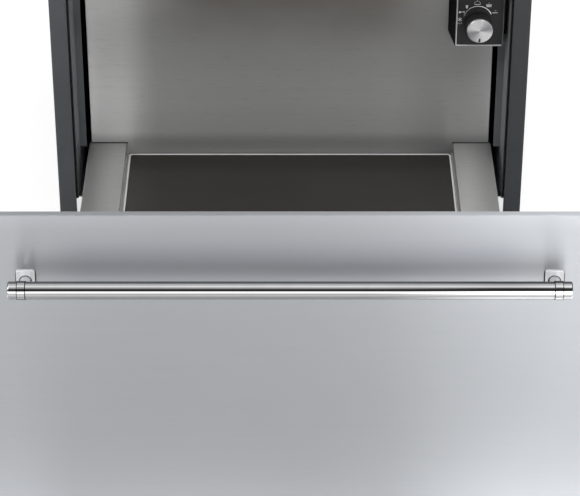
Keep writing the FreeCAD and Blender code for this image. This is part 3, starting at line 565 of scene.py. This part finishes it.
# %% [markdown]
# The knob has a spun cap. The turning tool leaves rings round the middle, and rings make light run in rays
# from the centre. So here the tangent points away from the knob's axis. It is worked out from the object's
# coordinates and then turned into the world, so that it stays right when the knob turns. Painted shade also
# darkens the colour in two opposite pairs of rays, so that light and dark rays stand opposite each other.

# %% Spun cap of the knob
RING_DARK, RING_LIGHT, PAINTED_RAY_SHADE = (0.80, 0.80, 0.81), (0.95, 0.95, 0.96), (0.36, 0.36, 0.37)
RING_DENSITY = 9000.0
cap_low, cap_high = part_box("knob_cap")
knob_centre = (cap_low + cap_high) / 2
tree, shader, place = start_finish("knob_metal", Metallic=1.0, Anisotropic=0.9)
outward = vectors(tree, "SUBTRACT", _0=place, _1=tuple(knob_centre))[0]
flat = vectors(tree, "MULTIPLY", _0=outward, _1=(1.0, 0.0, 1.0))[0]
radius = vectors(tree, "LENGTH", _0=flat)["Value"]
to_world = {"vector_type": "VECTOR", "convert_from": "OBJECT", "convert_to": "WORLD"}
wire(tree, shader, Tangent=add(tree, "VectorTransform", to_world, Vector=flat).outputs[0])
ring_place = add(tree, "CombineXYZ", X=times(tree, radius, RING_DENSITY)).outputs[0]
rings = noise(tree, ring_place, 1.0, 2.0)
spun = blend_colours(tree, rings, RING_DARK, RING_LIGHT)
around = parts(tree, flat)
# Painted shade in two opposite pairs of rays.
angle = maths(tree, "ARCTAN2", around["Z"], around["X"])
painted_rays = maths(tree, "SINE", maths(tree, "ADD", times(tree, angle, 2.0), 0.25), 0.0)
wire(tree, shader, Base_Color=spun, Roughness=between(tree, rings, 0.26, 0.40))
recolour(tree, shader, spread(tree, painted_rays, -0.7, 0.9), PAINTED_RAY_SHADE)
bump_from(tree, shader, rings, 0.000005)
print("finish knob_metal")

# %% [markdown]
# The rest are plastics, rubber, enamel and fibre board. All have a matt grain and paler edges, and
# one helper makes them, with a grain size, a depth and a shine for each.

# %% Helper: moulded finish


def moulded(slot, colour, roughness, grain_size=1500.0, depth=0.00001, tone=0.12, **constants):
    tree, shader, place = start_finish(slot, **constants)
    grain = use_group(tree, fine_grain, Vector=place, Scale=grain_size)
    hands = use_group(tree, handling_marks, Vector=place, Size=25.0)["Patches"]
    body = blend_colours(tree, grain["Grain"], *shades(colour, tone))
    wire(tree, shader, Base_Color=body, Roughness=between(tree, hands, roughness, roughness + 0.1))
    rubbed = times(tree, use_group(tree, worn_edges, Width=0.0005)["Edge"], 0.25)
    recolour(tree, shader, rubbed, tuple(min(1.0, c * 1.6 + 0.02) for c in colour))
    bump_from(tree, shader, grain["Height"], depth)
    print("finish", slot)
    return tree, shader, place


# %% [markdown]
# Grain sizes follow the mould. The knob has the finest grain, the rubber seal and the plain
# plastics inside have a coarser one, and the enamel on the heating wire is the coarsest.

# %% Plastics, rubber and the heating wire
moulded("control_face", (0.012, 0.0123, 0.0126), 0.42, 1800.0, 0.00001, Specular_IOR_Level=0.3)
moulded("knob_black", (0.018, 0.018, 0.019), 0.36, 2200.0, 0.00002)
moulded("mark_black", (0.008, 0.008, 0.008), 0.45, 2200.0, 0.00001)
moulded("black_plastic", (0.025, 0.025, 0.026), 0.42, 1600.0, 0.00004)
moulded("cream_plastic", (0.62, 0.59, 0.50), 0.45, depth=0.00003)
moulded("glide_nylon", (0.72, 0.72, 0.69), 0.38, 1200.0, 0.00002)
moulded("gasket_rubber", (0.035, 0.035, 0.036), 0.62, 1400.0, 0.00005, Specular_IOR_Level=0.3)
moulded("element", (0.42, 0.26, 0.10), 0.35, 700.0, 0.00005, Coat_Weight=0.4)

# %% [markdown]
# The fibre board behind the liners is felted from mineral threads. Its front edges are painted black, a
# painted shade where they sit back in the groove beside the uprights.

# %% Fibre board
WOOL_EDGE_SHADE, WOOL_EDGE_Y = (0.012, 0.012, 0.012), (0.006, 0.002)
tree, shader, place = moulded("wool", (0.60, 0.55, 0.40), 0.90, 260.0, 0.0012, tone=0.25, Sheen_Weight=0.3)
# Painted shade on the front edges.
recolour(tree, shader, spread(tree, parts(tree, place)["Y"], *WOOL_EDGE_Y), WOOL_EDGE_SHADE)

# %% [markdown]
# The liners beside the drawer are enamelled dark, so that the gap behind the uprights stays quiet. They are
# glazed as far as a hand reaches in, and rough behind that and on their cut front edges, where their colour
# is also painted near black, a painted shade.

# %% Enamelled liners
LINER_PAINTED_SHADE, LINER_SHADE_Y, LINER_EDGE_Y = (0.012, 0.013, 0.013), (0.112, 0.120), (-0.0066, -0.0072)
tree, shader, place = moulded("liner_steel", (0.32, 0.335, 0.35), 0.42, depth=0.00002)
inwards = parts(tree, place)["Y"]
# Painted shade deep inside and on the cut front edges.
liner_shade = maths(tree, "MAXIMUM", spread(tree, inwards, *LINER_SHADE_Y), spread(tree, inwards, *LINER_EDGE_Y))
recolour(tree, shader, liner_shade, LINER_PAINTED_SHADE)
wire(tree, shader, Roughness=between(tree, liner_shade, 0.22, 0.85))

# %% [markdown]
# The rail below the drawer is white, the print on the control panel is pale and the bead round it is silver.
# On its right side the bead is painted dark, a painted shade.

# %% Coats, print and bead
BEAD_PAINTED_SHADE, BEAD_SHADE_X = (0.09, 0.09, 0.09), (0.2390, 0.2410)
moulded("white_coat", (0.86, 0.86, 0.86), 0.35, tone=0.03)
moulded("flange_grey", (0.11, 0.117, 0.124), 0.50, depth=0.00002)
# The cheek's dead black is partly a painted shadow of the control box on the wall.
moulded("cheek_black_and_shadow", (0.006, 0.006, 0.006), 0.80, depth=0.00002, Specular_IOR_Level=0.1)
moulded("print_grey", (0.50, 0.50, 0.50), 0.45, tone=0.03)
tree, shader, place = moulded("bead_silver", (0.36, 0.36, 0.36), 0.30, tone=0.03)
# Painted shade on the bead's right side.
recolour(tree, shader, spread(tree, parts(tree, place)["X"], *BEAD_SHADE_X), BEAD_PAINTED_SHADE)

# %% [markdown]
# Most solids wear the finish that their record names. The back wall and the brackets of the handle
# get a look of their own.

# %% Put each finish on its solids
OWN_LOOK = {"rear_wall": "wall_stainless"}
OWN_LOOK.update({"handle_bracket_" + side: "satin_bracket" for side in ("left", "right")})
for part in frame["record"]["subparts"]:
    mesh = nodes[part["node"]].data
    mesh.materials.clear()
    mesh.materials.append(finishes[OWN_LOOK.get(part["node"], part["material_slot"])])

# %% [markdown]
# New pieces are small meshes that start from one of bmesh's ready shapes. They all end the same
# way: the mesh goes into an object at the origin, gets its finish, and rides on the body that it
# is fixed to.

# %% Helper: finish a new piece


def finish_piece(name, shape, slot, body, look=None):
    bmesh.ops.recalc_face_normals(shape, faces=shape.faces)
    mesh = bpy.data.meshes.new(name)
    shape.to_mesh(mesh)
    shape.free()
    piece = bpy.data.objects.new(name, mesh)
    bpy.context.scene.collection.objects.link(piece)
    mesh.materials.append(finishes[look or slot])
    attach(piece, body)
    print(name, len(mesh.polygons), "faces")
    return piece


# %% [markdown]
# Much of the trim is sheet or strip. It can start as an upright face of its own outline, which is
# then drawn out towards the front by the thickness of the sheet.

# %% Helpers: upright face and thickness


def upright_face(shape, x0, x1, z0, z1, y):
    turned_up = Matrix.Rotation(math.radians(90.0), 4, "X")
    made = bmesh.ops.create_grid(shape, x_segments=1, y_segments=1, size=0.5, matrix=turned_up)
    bmesh.ops.scale(shape, vec=(x1 - x0, 1.0, z1 - z0), verts=made["verts"])
    bmesh.ops.translate(shape, vec=((x0 + x1) / 2, y, (z0 + z1) / 2), verts=made["verts"])
    return made["verts"][0].link_faces[0]


def thicken(shape, faces, depth):
    pushed = bmesh.ops.extrude_face_region(shape, geom=faces)
    moved = [part for part in pushed["geom"] if isinstance(part, bmesh.types.BMVert)]
    bmesh.ops.translate(shape, vec=(0.0, -depth, 0.0), verts=moved)
    return moved


# %% [markdown]
# The control panel stands in a narrow bright frame. It starts as a flat face of the panel's own
# outline. An inset makes the frame, the middle is taken out, and the strip is given a thickness
# and a chamfer.

# %% Frame of the control panel
PANEL_W = 0.055
FRAME_W = 0.0014
FRAME_T = 0.0011
FRAME_IN = 0.0004
FRAME_CHAMFER = 0.0006
panel_low, panel_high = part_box("control_box")
face_y = panel_low.y
bezel = bmesh.new()
middle = upright_face(bezel, panel_low.x + FRAME_IN, panel_low.x + PANEL_W - FRAME_IN,
                      panel_low.z + FRAME_IN, panel_high.z, face_y)
bmesh.ops.inset_region(bezel, faces=[middle], thickness=FRAME_W, use_boundary=True, use_even_offset=True)
bmesh.ops.delete(bezel, geom=[middle], context="FACES")
thicken(bezel, list(bezel.faces), FRAME_T)
edges = [e for e in bezel.edges if all(v.co.y < face_y - FRAME_T / 2 for v in e.verts)]
bmesh.ops.bevel(bezel, geom=edges, offset=FRAME_CHAMFER, segments=3, profile=0.5, affect="EDGES",
                material=-1)
finish_piece("control_frame", bezel, "trim_light", "housing", "bead_silver")

# %% [markdown]
# The marks beside the knob are printed in white, and an arc round the knob grows thicker as the
# heat rises. It is spun as a thin band, and each point is then moved to the width of its place.
# Print has a thickness of nearly a tenth of a millimetre, and its edge catches the light.

# %% Arc round the knob
PRINT_T = 0.00008
ARC_R = 0.0161
ARC_THIN, ARC_THICK = 0.00018, 0.0009
ARC_GROWTH, ARC_STEPS = 1.5, 40
ARC_FROM, ARC_TO = math.radians(166.0), math.radians(23.0)
print_y = face_y - 0.00001


def on_dial(across, up):
    return Vector((knob_centre.x + across, print_y, knob_centre.z + up))


arc_centre = on_dial(-0.0014, 0.0061)
first_ray = Vector((math.cos(ARC_FROM), 0.0, math.sin(ARC_FROM)))
arc = bmesh.new()
ends = [arc.verts.new(arc_centre + (ARC_R + side * 0.0001) * first_ray) for side in (-1, 1)]
arc.edges.new(ends)
bmesh.ops.spin(arc, geom=arc.verts[:] + arc.edges[:], cent=arc_centre, axis=(0.0, 1.0, 0.0),
               angle=ARC_FROM - ARC_TO, steps=ARC_STEPS)
for vert in arc.verts:
    away = vert.co - arc_centre
    share = max(0.0, ARC_FROM - math.atan2(away.z, away.x)) / (ARC_FROM - ARC_TO)
    half = (ARC_THIN + (ARC_THICK - ARC_THIN) * share ** ARC_GROWTH) / 2
    side = 1.0 if away.length > ARC_R else -1.0
    vert.co = arc_centre + away.normalized() * (ARC_R + side * half)
thicken(arc, arc.faces[:], PRINT_T)
finish_piece("dial_arc", arc, "white_coat", "housing")

# %% [markdown]
# Six small pictures stand along the arc. Each is built from flat bars and domes, placed in
# millimetres from the middle of the knob. A bar can be turned and drawn in at its top. A dome is
# the upper half of a disc, and with nothing cut off it is the whole disc.

# %% Helpers: bar and dome
MM = 0.001


def bar(shape, across, up, width, height, turn=0.0, top=1.0):
    width, height = width * MM, height * MM
    face = upright_face(shape, -width / 2, width / 2, -height / 2, height / 2, 0.0)
    verts = list(face.verts)
    for vert in verts:
        if vert.co.z > 0.0:
            vert.co.x *= top
    bmesh.ops.rotate(shape, matrix=Matrix.Rotation(math.radians(-turn), 3, "Y"), verts=verts)
    bmesh.ops.translate(shape, vec=on_dial(across * MM, up * MM), verts=verts)
    thicken(shape, [face], PRINT_T)


def dome(shape, across, up, width, height, whole=False):
    turned_up = Matrix.Rotation(math.radians(90.0), 4, "X")
    made = bmesh.ops.create_circle(shape, cap_ends=True, segments=20, radius=0.5, matrix=turned_up)
    edges = list({e for v in made["verts"] for e in v.link_edges})
    kept = made["verts"] + edges + made["verts"][0].link_faces[:]
    if not whole:
        kept = bmesh.ops.bisect_plane(shape, geom=kept, dist=1e-6, plane_co=(0.0, 0.0, 0.0),
                                      plane_no=(0.0, 0.0, -1.0), clear_outer=True)["geom"]
    faces = [part for part in kept if isinstance(part, bmesh.types.BMFace) and part.is_valid]
    verts = list({v for face in faces for v in face.verts})
    tall = height * MM if whole else 2.0 * (height * MM)
    bmesh.ops.scale(shape, vec=(width * MM, 1.0, tall), verts=verts)
    bmesh.ops.translate(shape, vec=on_dial(across * MM, up * MM), verts=verts)
    thicken(shape, faces, PRINT_T)


# %% [markdown]
# The pictures show, from cool to hot, what each heat is for: a flake over three drops for thawing,
# a loaf, a cup, a covered dish with rays, a stack of plates and a flat dish.

# %% Small pictures along the arc
ICE, LOAF, CUP, DISH = (-21.6, 5.6), (-20.0, 15.0), (-14.2, 21.9), (-2.5, 25.4)
PLATES, FLAT = (10.6, 21.6), (17.7, 14.0)
pictures = bmesh.new()
for turn in (0.0, 60.0, 120.0):
    bar(pictures, *ICE, 0.50, 5.4, turn)
for step in (-1, 0, 1):
    dome(pictures, ICE[0] + 1.9 * step, ICE[1] - 4.4 - 0.9 * (step == 0), 0.7, 1.2, whole=True)
dome(pictures, LOAF[0] - 1.9, LOAF[1] - 1.2, 2.6, 2.3)
bar(pictures, LOAF[0] + 0.8, LOAF[1] + 0.1, 3.4, 0.5)
bar(pictures, LOAF[0] + 2.8, LOAF[1], 0.9, 2.0)
for low_at, width in ((0.6, 2.6), (-1.4, 2.1)):
    bar(pictures, CUP[0], CUP[1] + low_at, width, 1.7, 180.0, top=0.88)
for step in range(9):
    around = math.pi * step / 8
    bar(pictures, DISH[0] + 3.3 * math.cos(around), DISH[1] + 3.0 * math.sin(around), 0.35, 1.15,
        -math.degrees(around))
dome(pictures, DISH[0], DISH[1] + 4.0, 0.9, 0.9, whole=True)
bar(pictures, DISH[0], DISH[1] - 1.0, 6.4, 0.6)
for step in range(4):
    bar(pictures, PLATES[0], PLATES[1] + 0.85 * step, 5.6 + 0.4 * step, 0.62, 180.0, top=0.9)
dome(pictures, PLATES[0], PLATES[1] + 4.6, 0.8, 0.8, whole=True)
bar(pictures, *FLAT, 6.0, 0.75)
bar(pictures, FLAT[0] + 0.6, FLAT[1] + 2.6, 2.0, 0.3)
finish_piece("dial_pictures", pictures, "white_coat", "housing", "print_grey")

# %% [markdown]
# The mark on the knob is a short black bar near the rim of the cap. It turns with the knob.

# %% Mark on the knob
MARK_HALF = 0.0011
MARK_OUTER, MARK_INNER = 0.0137, 0.0098
mark = bmesh.new()
pad = upright_face(mark, knob_centre.x - MARK_HALF, knob_centre.x + MARK_HALF, knob_centre.z - MARK_OUTER,
                   knob_centre.z - MARK_INNER, cap_low.y + 0.0001)
thicken(mark, [pad], 0.0002)
finish_piece("knob_pointer", mark, "mark_black", "knob")

# %% [markdown]
# On its inner side the control box widens towards the wall. This cheek starts as an upright face on the
# wall's plane, is drawn out to the front, and is then pulled to the box's own edge. It is dead black, so
# that it also stands in for the box's shadow on the wall: a painted shadow.

# %% Cheek of the control box
CHEEK_OUT, CHEEK_RISE, CHEEK_LAP = 0.0062, 0.0040, 0.0006
wall_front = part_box("rear_wall")[0].y
cheek = bmesh.new()
root = upright_face(cheek, panel_low.x - CHEEK_OUT, panel_low.x + CHEEK_LAP, panel_low.z + CHEEK_RISE,
                    panel_high.z, wall_front - 0.0008)
for vert in thicken(cheek, [root], wall_front - 0.0016 - face_y):
    vert.co.x = max(vert.co.x, panel_low.x - 0.0002)
    if vert.co.z < panel_high.z - 0.001:
        vert.co.z -= CHEEK_RISE
finish_piece("control_cheek", cheek, "control_face", "housing", "cheek_black_and_shadow")

# %% [markdown]
# Each side liner has a narrow flange that closes the view past the edge of the back wall. It is a
# strip of the housing's own grey sheet, so it starts as an upright face and gets one thickness. On
# the right it ends below the control box.

# %% Flanges beside the back wall
FLANGE_W, FLANGE_Z, FLANGE_T = 0.0080, 0.1293, 0.0010
FLANGE_GAP, FLANGE_AHEAD = 0.0003, 0.0022
liner_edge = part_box("liner_right")[0].x
for name, sign, top in (("left", -1, panel_high.z), ("right", 1, panel_low.z)):
    strip = bmesh.new()
    low_x, high_x = sorted((sign * (liner_edge + FLANGE_GAP), sign * (liner_edge - FLANGE_W)))
    sheet = upright_face(strip, low_x, high_x, FLANGE_Z, top, wall_front - FLANGE_AHEAD)
    thicken(strip, [sheet], FLANGE_T)
    finish_piece("liner_flange_" + name, strip, "shell_grey", "housing", "flange_grey")

# %% [markdown]
# Where each ledge meets the back wall there is a bead of dark sealant. It is a square strip laid in
# the corner, with its outer edge rounded off.

# %% Sealant in the corners
BEAD = 0.0013
for name in ("left", "right"):
    ledge_low, ledge_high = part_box("ledge_" + name)
    bead = bmesh.new()
    end = upright_face(bead, ledge_low.x + 0.001, ledge_high.x - 0.001, ledge_high.z - 0.0002,
                       ledge_high.z + BEAD, wall_front + 0.0001)
    thicken(bead, [end], BEAD)
    crest = [e for e in bead.edges if all(v.co.y < wall_front and v.co.z > ledge_high.z for v in e.verts)]
    bmesh.ops.bevel(bead, geom=crest, offset=BEAD * 0.6, segments=3, profile=0.5, affect="EDGES",
                    material=-1)
    finish_piece("corner_seal_" + name, bead, "gasket_rubber", "drawer")

# %% [markdown]
# A soft seal runs round the back of the front panel and presses on the housing when the drawer is
# shut. The plain solid is a flat ring. The real seal has two raised lips with a groove between
# them. Repeated insets of one rounded face, each with its own width and rise, draw that section
# all the way round, and the flat back closes it.

# %% Seal with two lips
SEAL_W, SEAL_CORNER = 0.0135, 0.020
OUTER_LIP = ((0.0004, 0.0009), (0.0010, 0.0008), (0.0016, 0.0002), (0.0012, -0.0007), (0.0010, -0.0005))
GROOVE = ((0.0031, 0.0),)
INNER_LIP = ((0.0010, 0.0005), (0.0012, 0.0007), (0.0016, -0.0002), (0.0010, -0.0008), (0.0004, -0.0009))
LIPS = OUTER_LIP + GROOVE + INNER_LIP
seal_low, seal_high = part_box("front_gasket")
seal = bmesh.new()
ring = upright_face(seal, seal_low.x, seal_high.x, seal_low.z, seal_high.z, seal_low.y)
bmesh.ops.bevel(seal, geom=ring.verts[:], offset=SEAL_CORNER, segments=8, profile=0.5, affect="VERTICES",
                material=-1)
ring = seal.faces[:][0]
for width, rise in LIPS:
    share = width * SEAL_W / sum(w for w, _ in LIPS)
    bmesh.ops.inset_region(seal, faces=[ring], thickness=share, depth=-rise, use_boundary=True,
                           use_even_offset=True)
bmesh.ops.delete(seal, geom=[ring], context="FACES")
bmesh.ops.bridge_loops(seal, edges=[e for e in seal.edges if e.is_boundary])
piece = finish_piece("seal_lips", seal, "gasket_rubber", "drawer")
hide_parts("front_gasket")
for face in piece.data.polygons:
    face.use_smooth = True

# %% [markdown]
# The lower compartment breathes through rows of slots. On the real sheet each slot is a louvre:
# the punch cuts one side and presses the other out into a little hood, so that drips stay out.
# A hood is part of a flattened sphere, cut flat where it meets the wall and cut open below.

# %% Helper: hood over one slot
HOOD_OUT = 0.0016


def hood(shape, centre, length, height, outward):
    along = Vector((0.0, 1.0, 0.0)) if outward.x else Vector((1.0, 0.0, 0.0))
    verts = bmesh.ops.create_uvsphere(shape, u_segments=12, v_segments=8, radius=1.0)["verts"]
    size = [abs(along[i]) * length / 2 + abs(outward[i]) * HOOD_OUT for i in range(2)] + [height]
    bmesh.ops.scale(shape, vec=size, verts=verts)
    bmesh.ops.translate(shape, vec=centre, verts=verts)
    opening = centre - Vector((0.0, 0.0, height * 0.3))
    for point, normal in ((centre, -outward), (opening, Vector((0.0, 0.0, -1.0)))):
        verts = [v for v in verts if v.is_valid]
        edges = list({e for v in verts for e in v.link_edges})
        faces = list({f for v in verts for f in v.link_faces})
        kept = bmesh.ops.bisect_plane(shape, geom=verts + edges + faces, dist=1e-7, plane_co=point,
                                      plane_no=normal, clear_outer=True)["geom"]
        verts = [part for part in kept if isinstance(part, bmesh.types.BMVert)]


# %% [markdown]
# The right side has three short rows of slots near its back. The back has two rows along the top
# and two along the bottom, where the inlet takes the room of the last few slots.

# %% Louvres over the air slots
SIDE_SIZE, SIDE_PITCH, SIDE_ROW, SIDE_IN = (0.0126, 0.0034), 0.016, 0.012, 0.062 + 0.0055
BACK_SIZE, BACK_PITCH, BACK_ROW, BACK_DOWN = (0.0176, 0.0044), 0.540 / 22.0, 0.014, 0.065
ROWS_UP = 0.024
SIDE_MIDDLE, BACK_MIDDLE = 0.0015 + 0.0012, 0.002 + 0.0016
INLET_X = 0.125
TO_RIGHT, TO_BACK = Vector((1.0, 0.0, 0.0)), Vector((0.0, 1.0, 0.0))
side_low, side_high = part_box("side_shell_right")
back_low, back_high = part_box("rear_cover")
hoods = bmesh.new()
for column in range(9):
    for row in range(3):
        slot_y = back_high.y - SIDE_IN - SIDE_PITCH * column
        slot_z = back_low.z + ROWS_UP + SIDE_ROW * row + SIDE_MIDDLE
        hood(hoods, Vector((side_high.x, slot_y, slot_z)), *SIDE_SIZE, TO_RIGHT)
for column in range(16):
    slot_x = (column - 7.5) * BACK_PITCH
    for row in range(2):
        upper_z = back_high.z - BACK_DOWN + BACK_ROW * row + BACK_MIDDLE
        hood(hoods, Vector((slot_x, back_high.y, upper_z)), *BACK_SIZE, TO_BACK)
        if slot_x < INLET_X:
            lower_z = back_low.z + ROWS_UP + BACK_ROW * row + BACK_MIDDLE
            hood(hoods, Vector((slot_x, back_high.y, lower_z)), *BACK_SIZE, TO_BACK)
louvres = finish_piece("louvres", hoods, "shell_grey", "housing")
wall = louvres.modifiers.new("sheet", "SOLIDIFY")
wall.thickness = 0.0005
wall.offset = -1.0

# %% [markdown]
# Polished metal shows whatever stands round it, so the floor and the room need levels of light
# that change from left to right. A colour ramp holds such a list: pairs of a place between -1 and 1
# and a level.

# %% Helper: level by place from left to right


def level_across(tree, sideways, levels):
    made = add(tree, "ValToRGB", Fac=maths(tree, "ADD", times(tree, sideways, 0.5), 0.5))
    ramp = made.color_ramp
    while len(ramp.elements) < len(levels):
        ramp.elements.new(0.5)
    for element, (spot, level) in zip(ramp.elements, levels):
        element.position = spot * 0.5 + 0.5
        element.color = (level, level, level, 1.0)
    return made.outputs[0]


# %% [markdown]
# The drawer stands on a pale floor of matt paint, which takes its shadow. Brushed and polished
# metal sees the floor as a lit card instead: bright right in front of the panel, dim 20
# centimetres further on, bright again far out, and stronger towards the right, where a window
# would be. The card's levels fan out from the front, as a window's light does.

# %% Floor paint and lit card
FLOOR_LEVELS = ((-0.34, 0.27), (-0.27, 0.26), (-0.22, 0.20), (0.10, 0.20), (0.16, 0.29), (0.23, 0.37),
                (0.50, 0.38))
FRONT_Y = -0.48
FAN = 0.42
tree, shader, place = start_finish("floor_paint", Roughness=0.9, Specular_IOR_Level=0.0)
mottle = noise(tree, place, 3.0, 3.0)
wire(tree, shader, Base_Color=blend_colours(tree, mottle, (0.80,) * 3, (0.83,) * 3))
spot = parts(tree, place)
ahead = maths(tree, "SUBTRACT", FRONT_Y, spot["Y"])
fanned = maths(tree, "DIVIDE", spot["X"], maths(tree, "ADD", times(tree, ahead, FAN), 1.0))
close_by = spread(tree, ahead, 0.20, 0.0, 1.5, 6.5)
far_out = spread(tree, ahead, 0.20, 1.6, 0.0, 9.0)
underneath = spread(tree, ahead, -0.04, -0.20, 0.0, 5.2)
strength = maths(tree, "SUBTRACT", maths(tree, "ADD", close_by, far_out), underneath)
card = add(tree, "Emission", Color=level_across(tree, fanned, FLOOR_LEVELS), Strength=strength)
print("card with", len(FLOOR_LEVELS), "levels")

# %% [markdown]
# The camera sees the floor as white, and so does glass. The kind of ray decides which of the three
# looks it meets: white, card or paint. Then the floor itself is one large flat face.

# %% Floor
WHITE = (1.0, 1.0, 1.0, 1.0)
SEEN_SHARE = 0.75
white = add(tree, "Emission", Color=WHITE, Strength=1.12)
seen = add(tree, "LightPath").outputs
by_eye = times(tree, maths(tree, "MAXIMUM", seen["Is Camera Ray"], seen["Is Transmission Ray"]), SEEN_SHARE)
by_shine = times(tree, seen["Is Glossy Ray"], SEEN_SHARE)
shiny = add(tree, "MixShader", _0=by_shine, _1=shader.outputs[0], _2=card.outputs[0])
mixed = add(tree, "MixShader", _0=by_eye, _1=shiny.outputs[0], _2=white.outputs[0])
wire(tree, tree.nodes["Material Output"], Surface=mixed.outputs[0])
finishes["floor_paint"].cycles.emission_sampling = "NONE"
ground = bmesh.new()
bmesh.ops.create_grid(ground, x_segments=1, y_segments=1, size=12.0)
mesh = bpy.data.meshes.new("floor")
ground.to_mesh(mesh)
ground.free()
floor = bpy.data.objects.new("floor", mesh)
bpy.context.scene.collection.objects.link(floor)
mesh.materials.append(finishes.pop("floor_paint"))
floor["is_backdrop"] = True
print("floor", tuple(floor.dimensions))

# %% [markdown]
# The room is a pale studio. It has long bands of light and dark that run from side to side: a
# bright window low in front, a dark strip above it where the camera stands, and a soft light
# overhead. A second ramp makes the room brighter towards the right and darker far out to both
# sides.

# %% Room
ROOM_BANDS = ((0.0, 0.95), (0.055, 0.85), (0.075, 0.55), (0.105, 0.42), (0.12, 0.01), (0.262, 0.01),
              (0.285, 0.16), (0.32, 0.18), (0.39, 0.22), (0.42, 0.53), (0.50, 0.46), (0.56, 0.30),
              (0.70, 0.26), (0.74, 0.06), (0.82, 0.06), (0.85, 0.12), (1.0, 0.14))
ROOM_SIDES = ((-0.70, 0.16), (-0.35, 0.55), (-0.14, 0.55), (-0.11, 0.336), (0.050, 0.336), (0.085, 0.66),
              (0.125, 1.08), (0.35, 1.08), (0.75, 0.16))
world = bpy.data.worlds.new("studio")
bpy.context.scene.world = world
world.use_nodes = True
tree = world.node_tree
tree.nodes.clear()
direction = parts(tree, add(tree, "TexCoord").outputs["Generated"])
height = maths(tree, "ARCTAN2", direction["Z"], times(tree, direction["Y"], -1.0))
turn = maths(tree, "DIVIDE", height, math.pi)
bands = level_across(tree, maths(tree, "SUBTRACT", times(tree, turn, 2.0), 1.0),
                     [(spot * 2.0 - 1.0, level) for spot, level in ROOM_BANDS])
sides = level_across(tree, direction["X"], ROOM_SIDES)
room = add(tree, "Background", Color=multiply_colours(tree, bands, sides), Strength=6.0)
behind = add(tree, "Background", Color=WHITE, Strength=1.0)
seen = add(tree, "LightPath").outputs
through = maths(tree, "MAXIMUM", seen["Is Camera Ray"], seen["Is Transmission Ray"])
final = add(tree, "MixShader", _0=through, _1=room.outputs[0], _2=behind.outputs[0])
wire(tree, add(tree, "OutputWorld"), Surface=final.outputs[0])
print("room with", len(ROOM_BANDS), "bands")

# %% [markdown]
# Two wide soft lamps shape the drawer: one overhead towards the front, and one high on the left
# that reaches into the opening. They are large, so their shadows are soft. Two weak ones stand low
# at the sides and only reach the liners behind the uprights.

# %% Lamps


def soft_lamp(name, place, aim, width, depth, power, in_mirrors):
    data = bpy.data.lights.new(name, "AREA")
    data.shape = "RECTANGLE"
    data.size = width
    data.size_y = depth
    data.energy = power
    lamp = bpy.data.objects.new(name, data)
    lamp.location = place
    lamp.rotation_euler = (Vector(aim) - Vector(place)).to_track_quat("-Z", "Y").to_euler()
    lamp.visible_glossy = in_mirrors
    bpy.context.scene.collection.objects.link(lamp)
    print(name, "at", place)


soft_lamp("overhead", (0.0, -1.2, 2.3), (0.0, -0.1, 0.2), 1.6, 0.8, 32.0, False)
soft_lamp("left_fill", (-1.6, -1.3, 1.8), (0.0, -0.1, 0.25), 0.9, 0.9, 14.0, True)
soft_lamp("left_low", (-1.2, -1.5, 0.75), (0.25, 0.05, 0.28), 0.5, 0.5, 5.0, False)
soft_lamp("right_low", (1.2, -1.5, 0.75), (-0.25, 0.05, 0.28), 0.5, 0.5, 5.0, False)

# %% [markdown]
# The last step works out how large the dressed drawer is.

# %% Sizes
low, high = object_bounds()
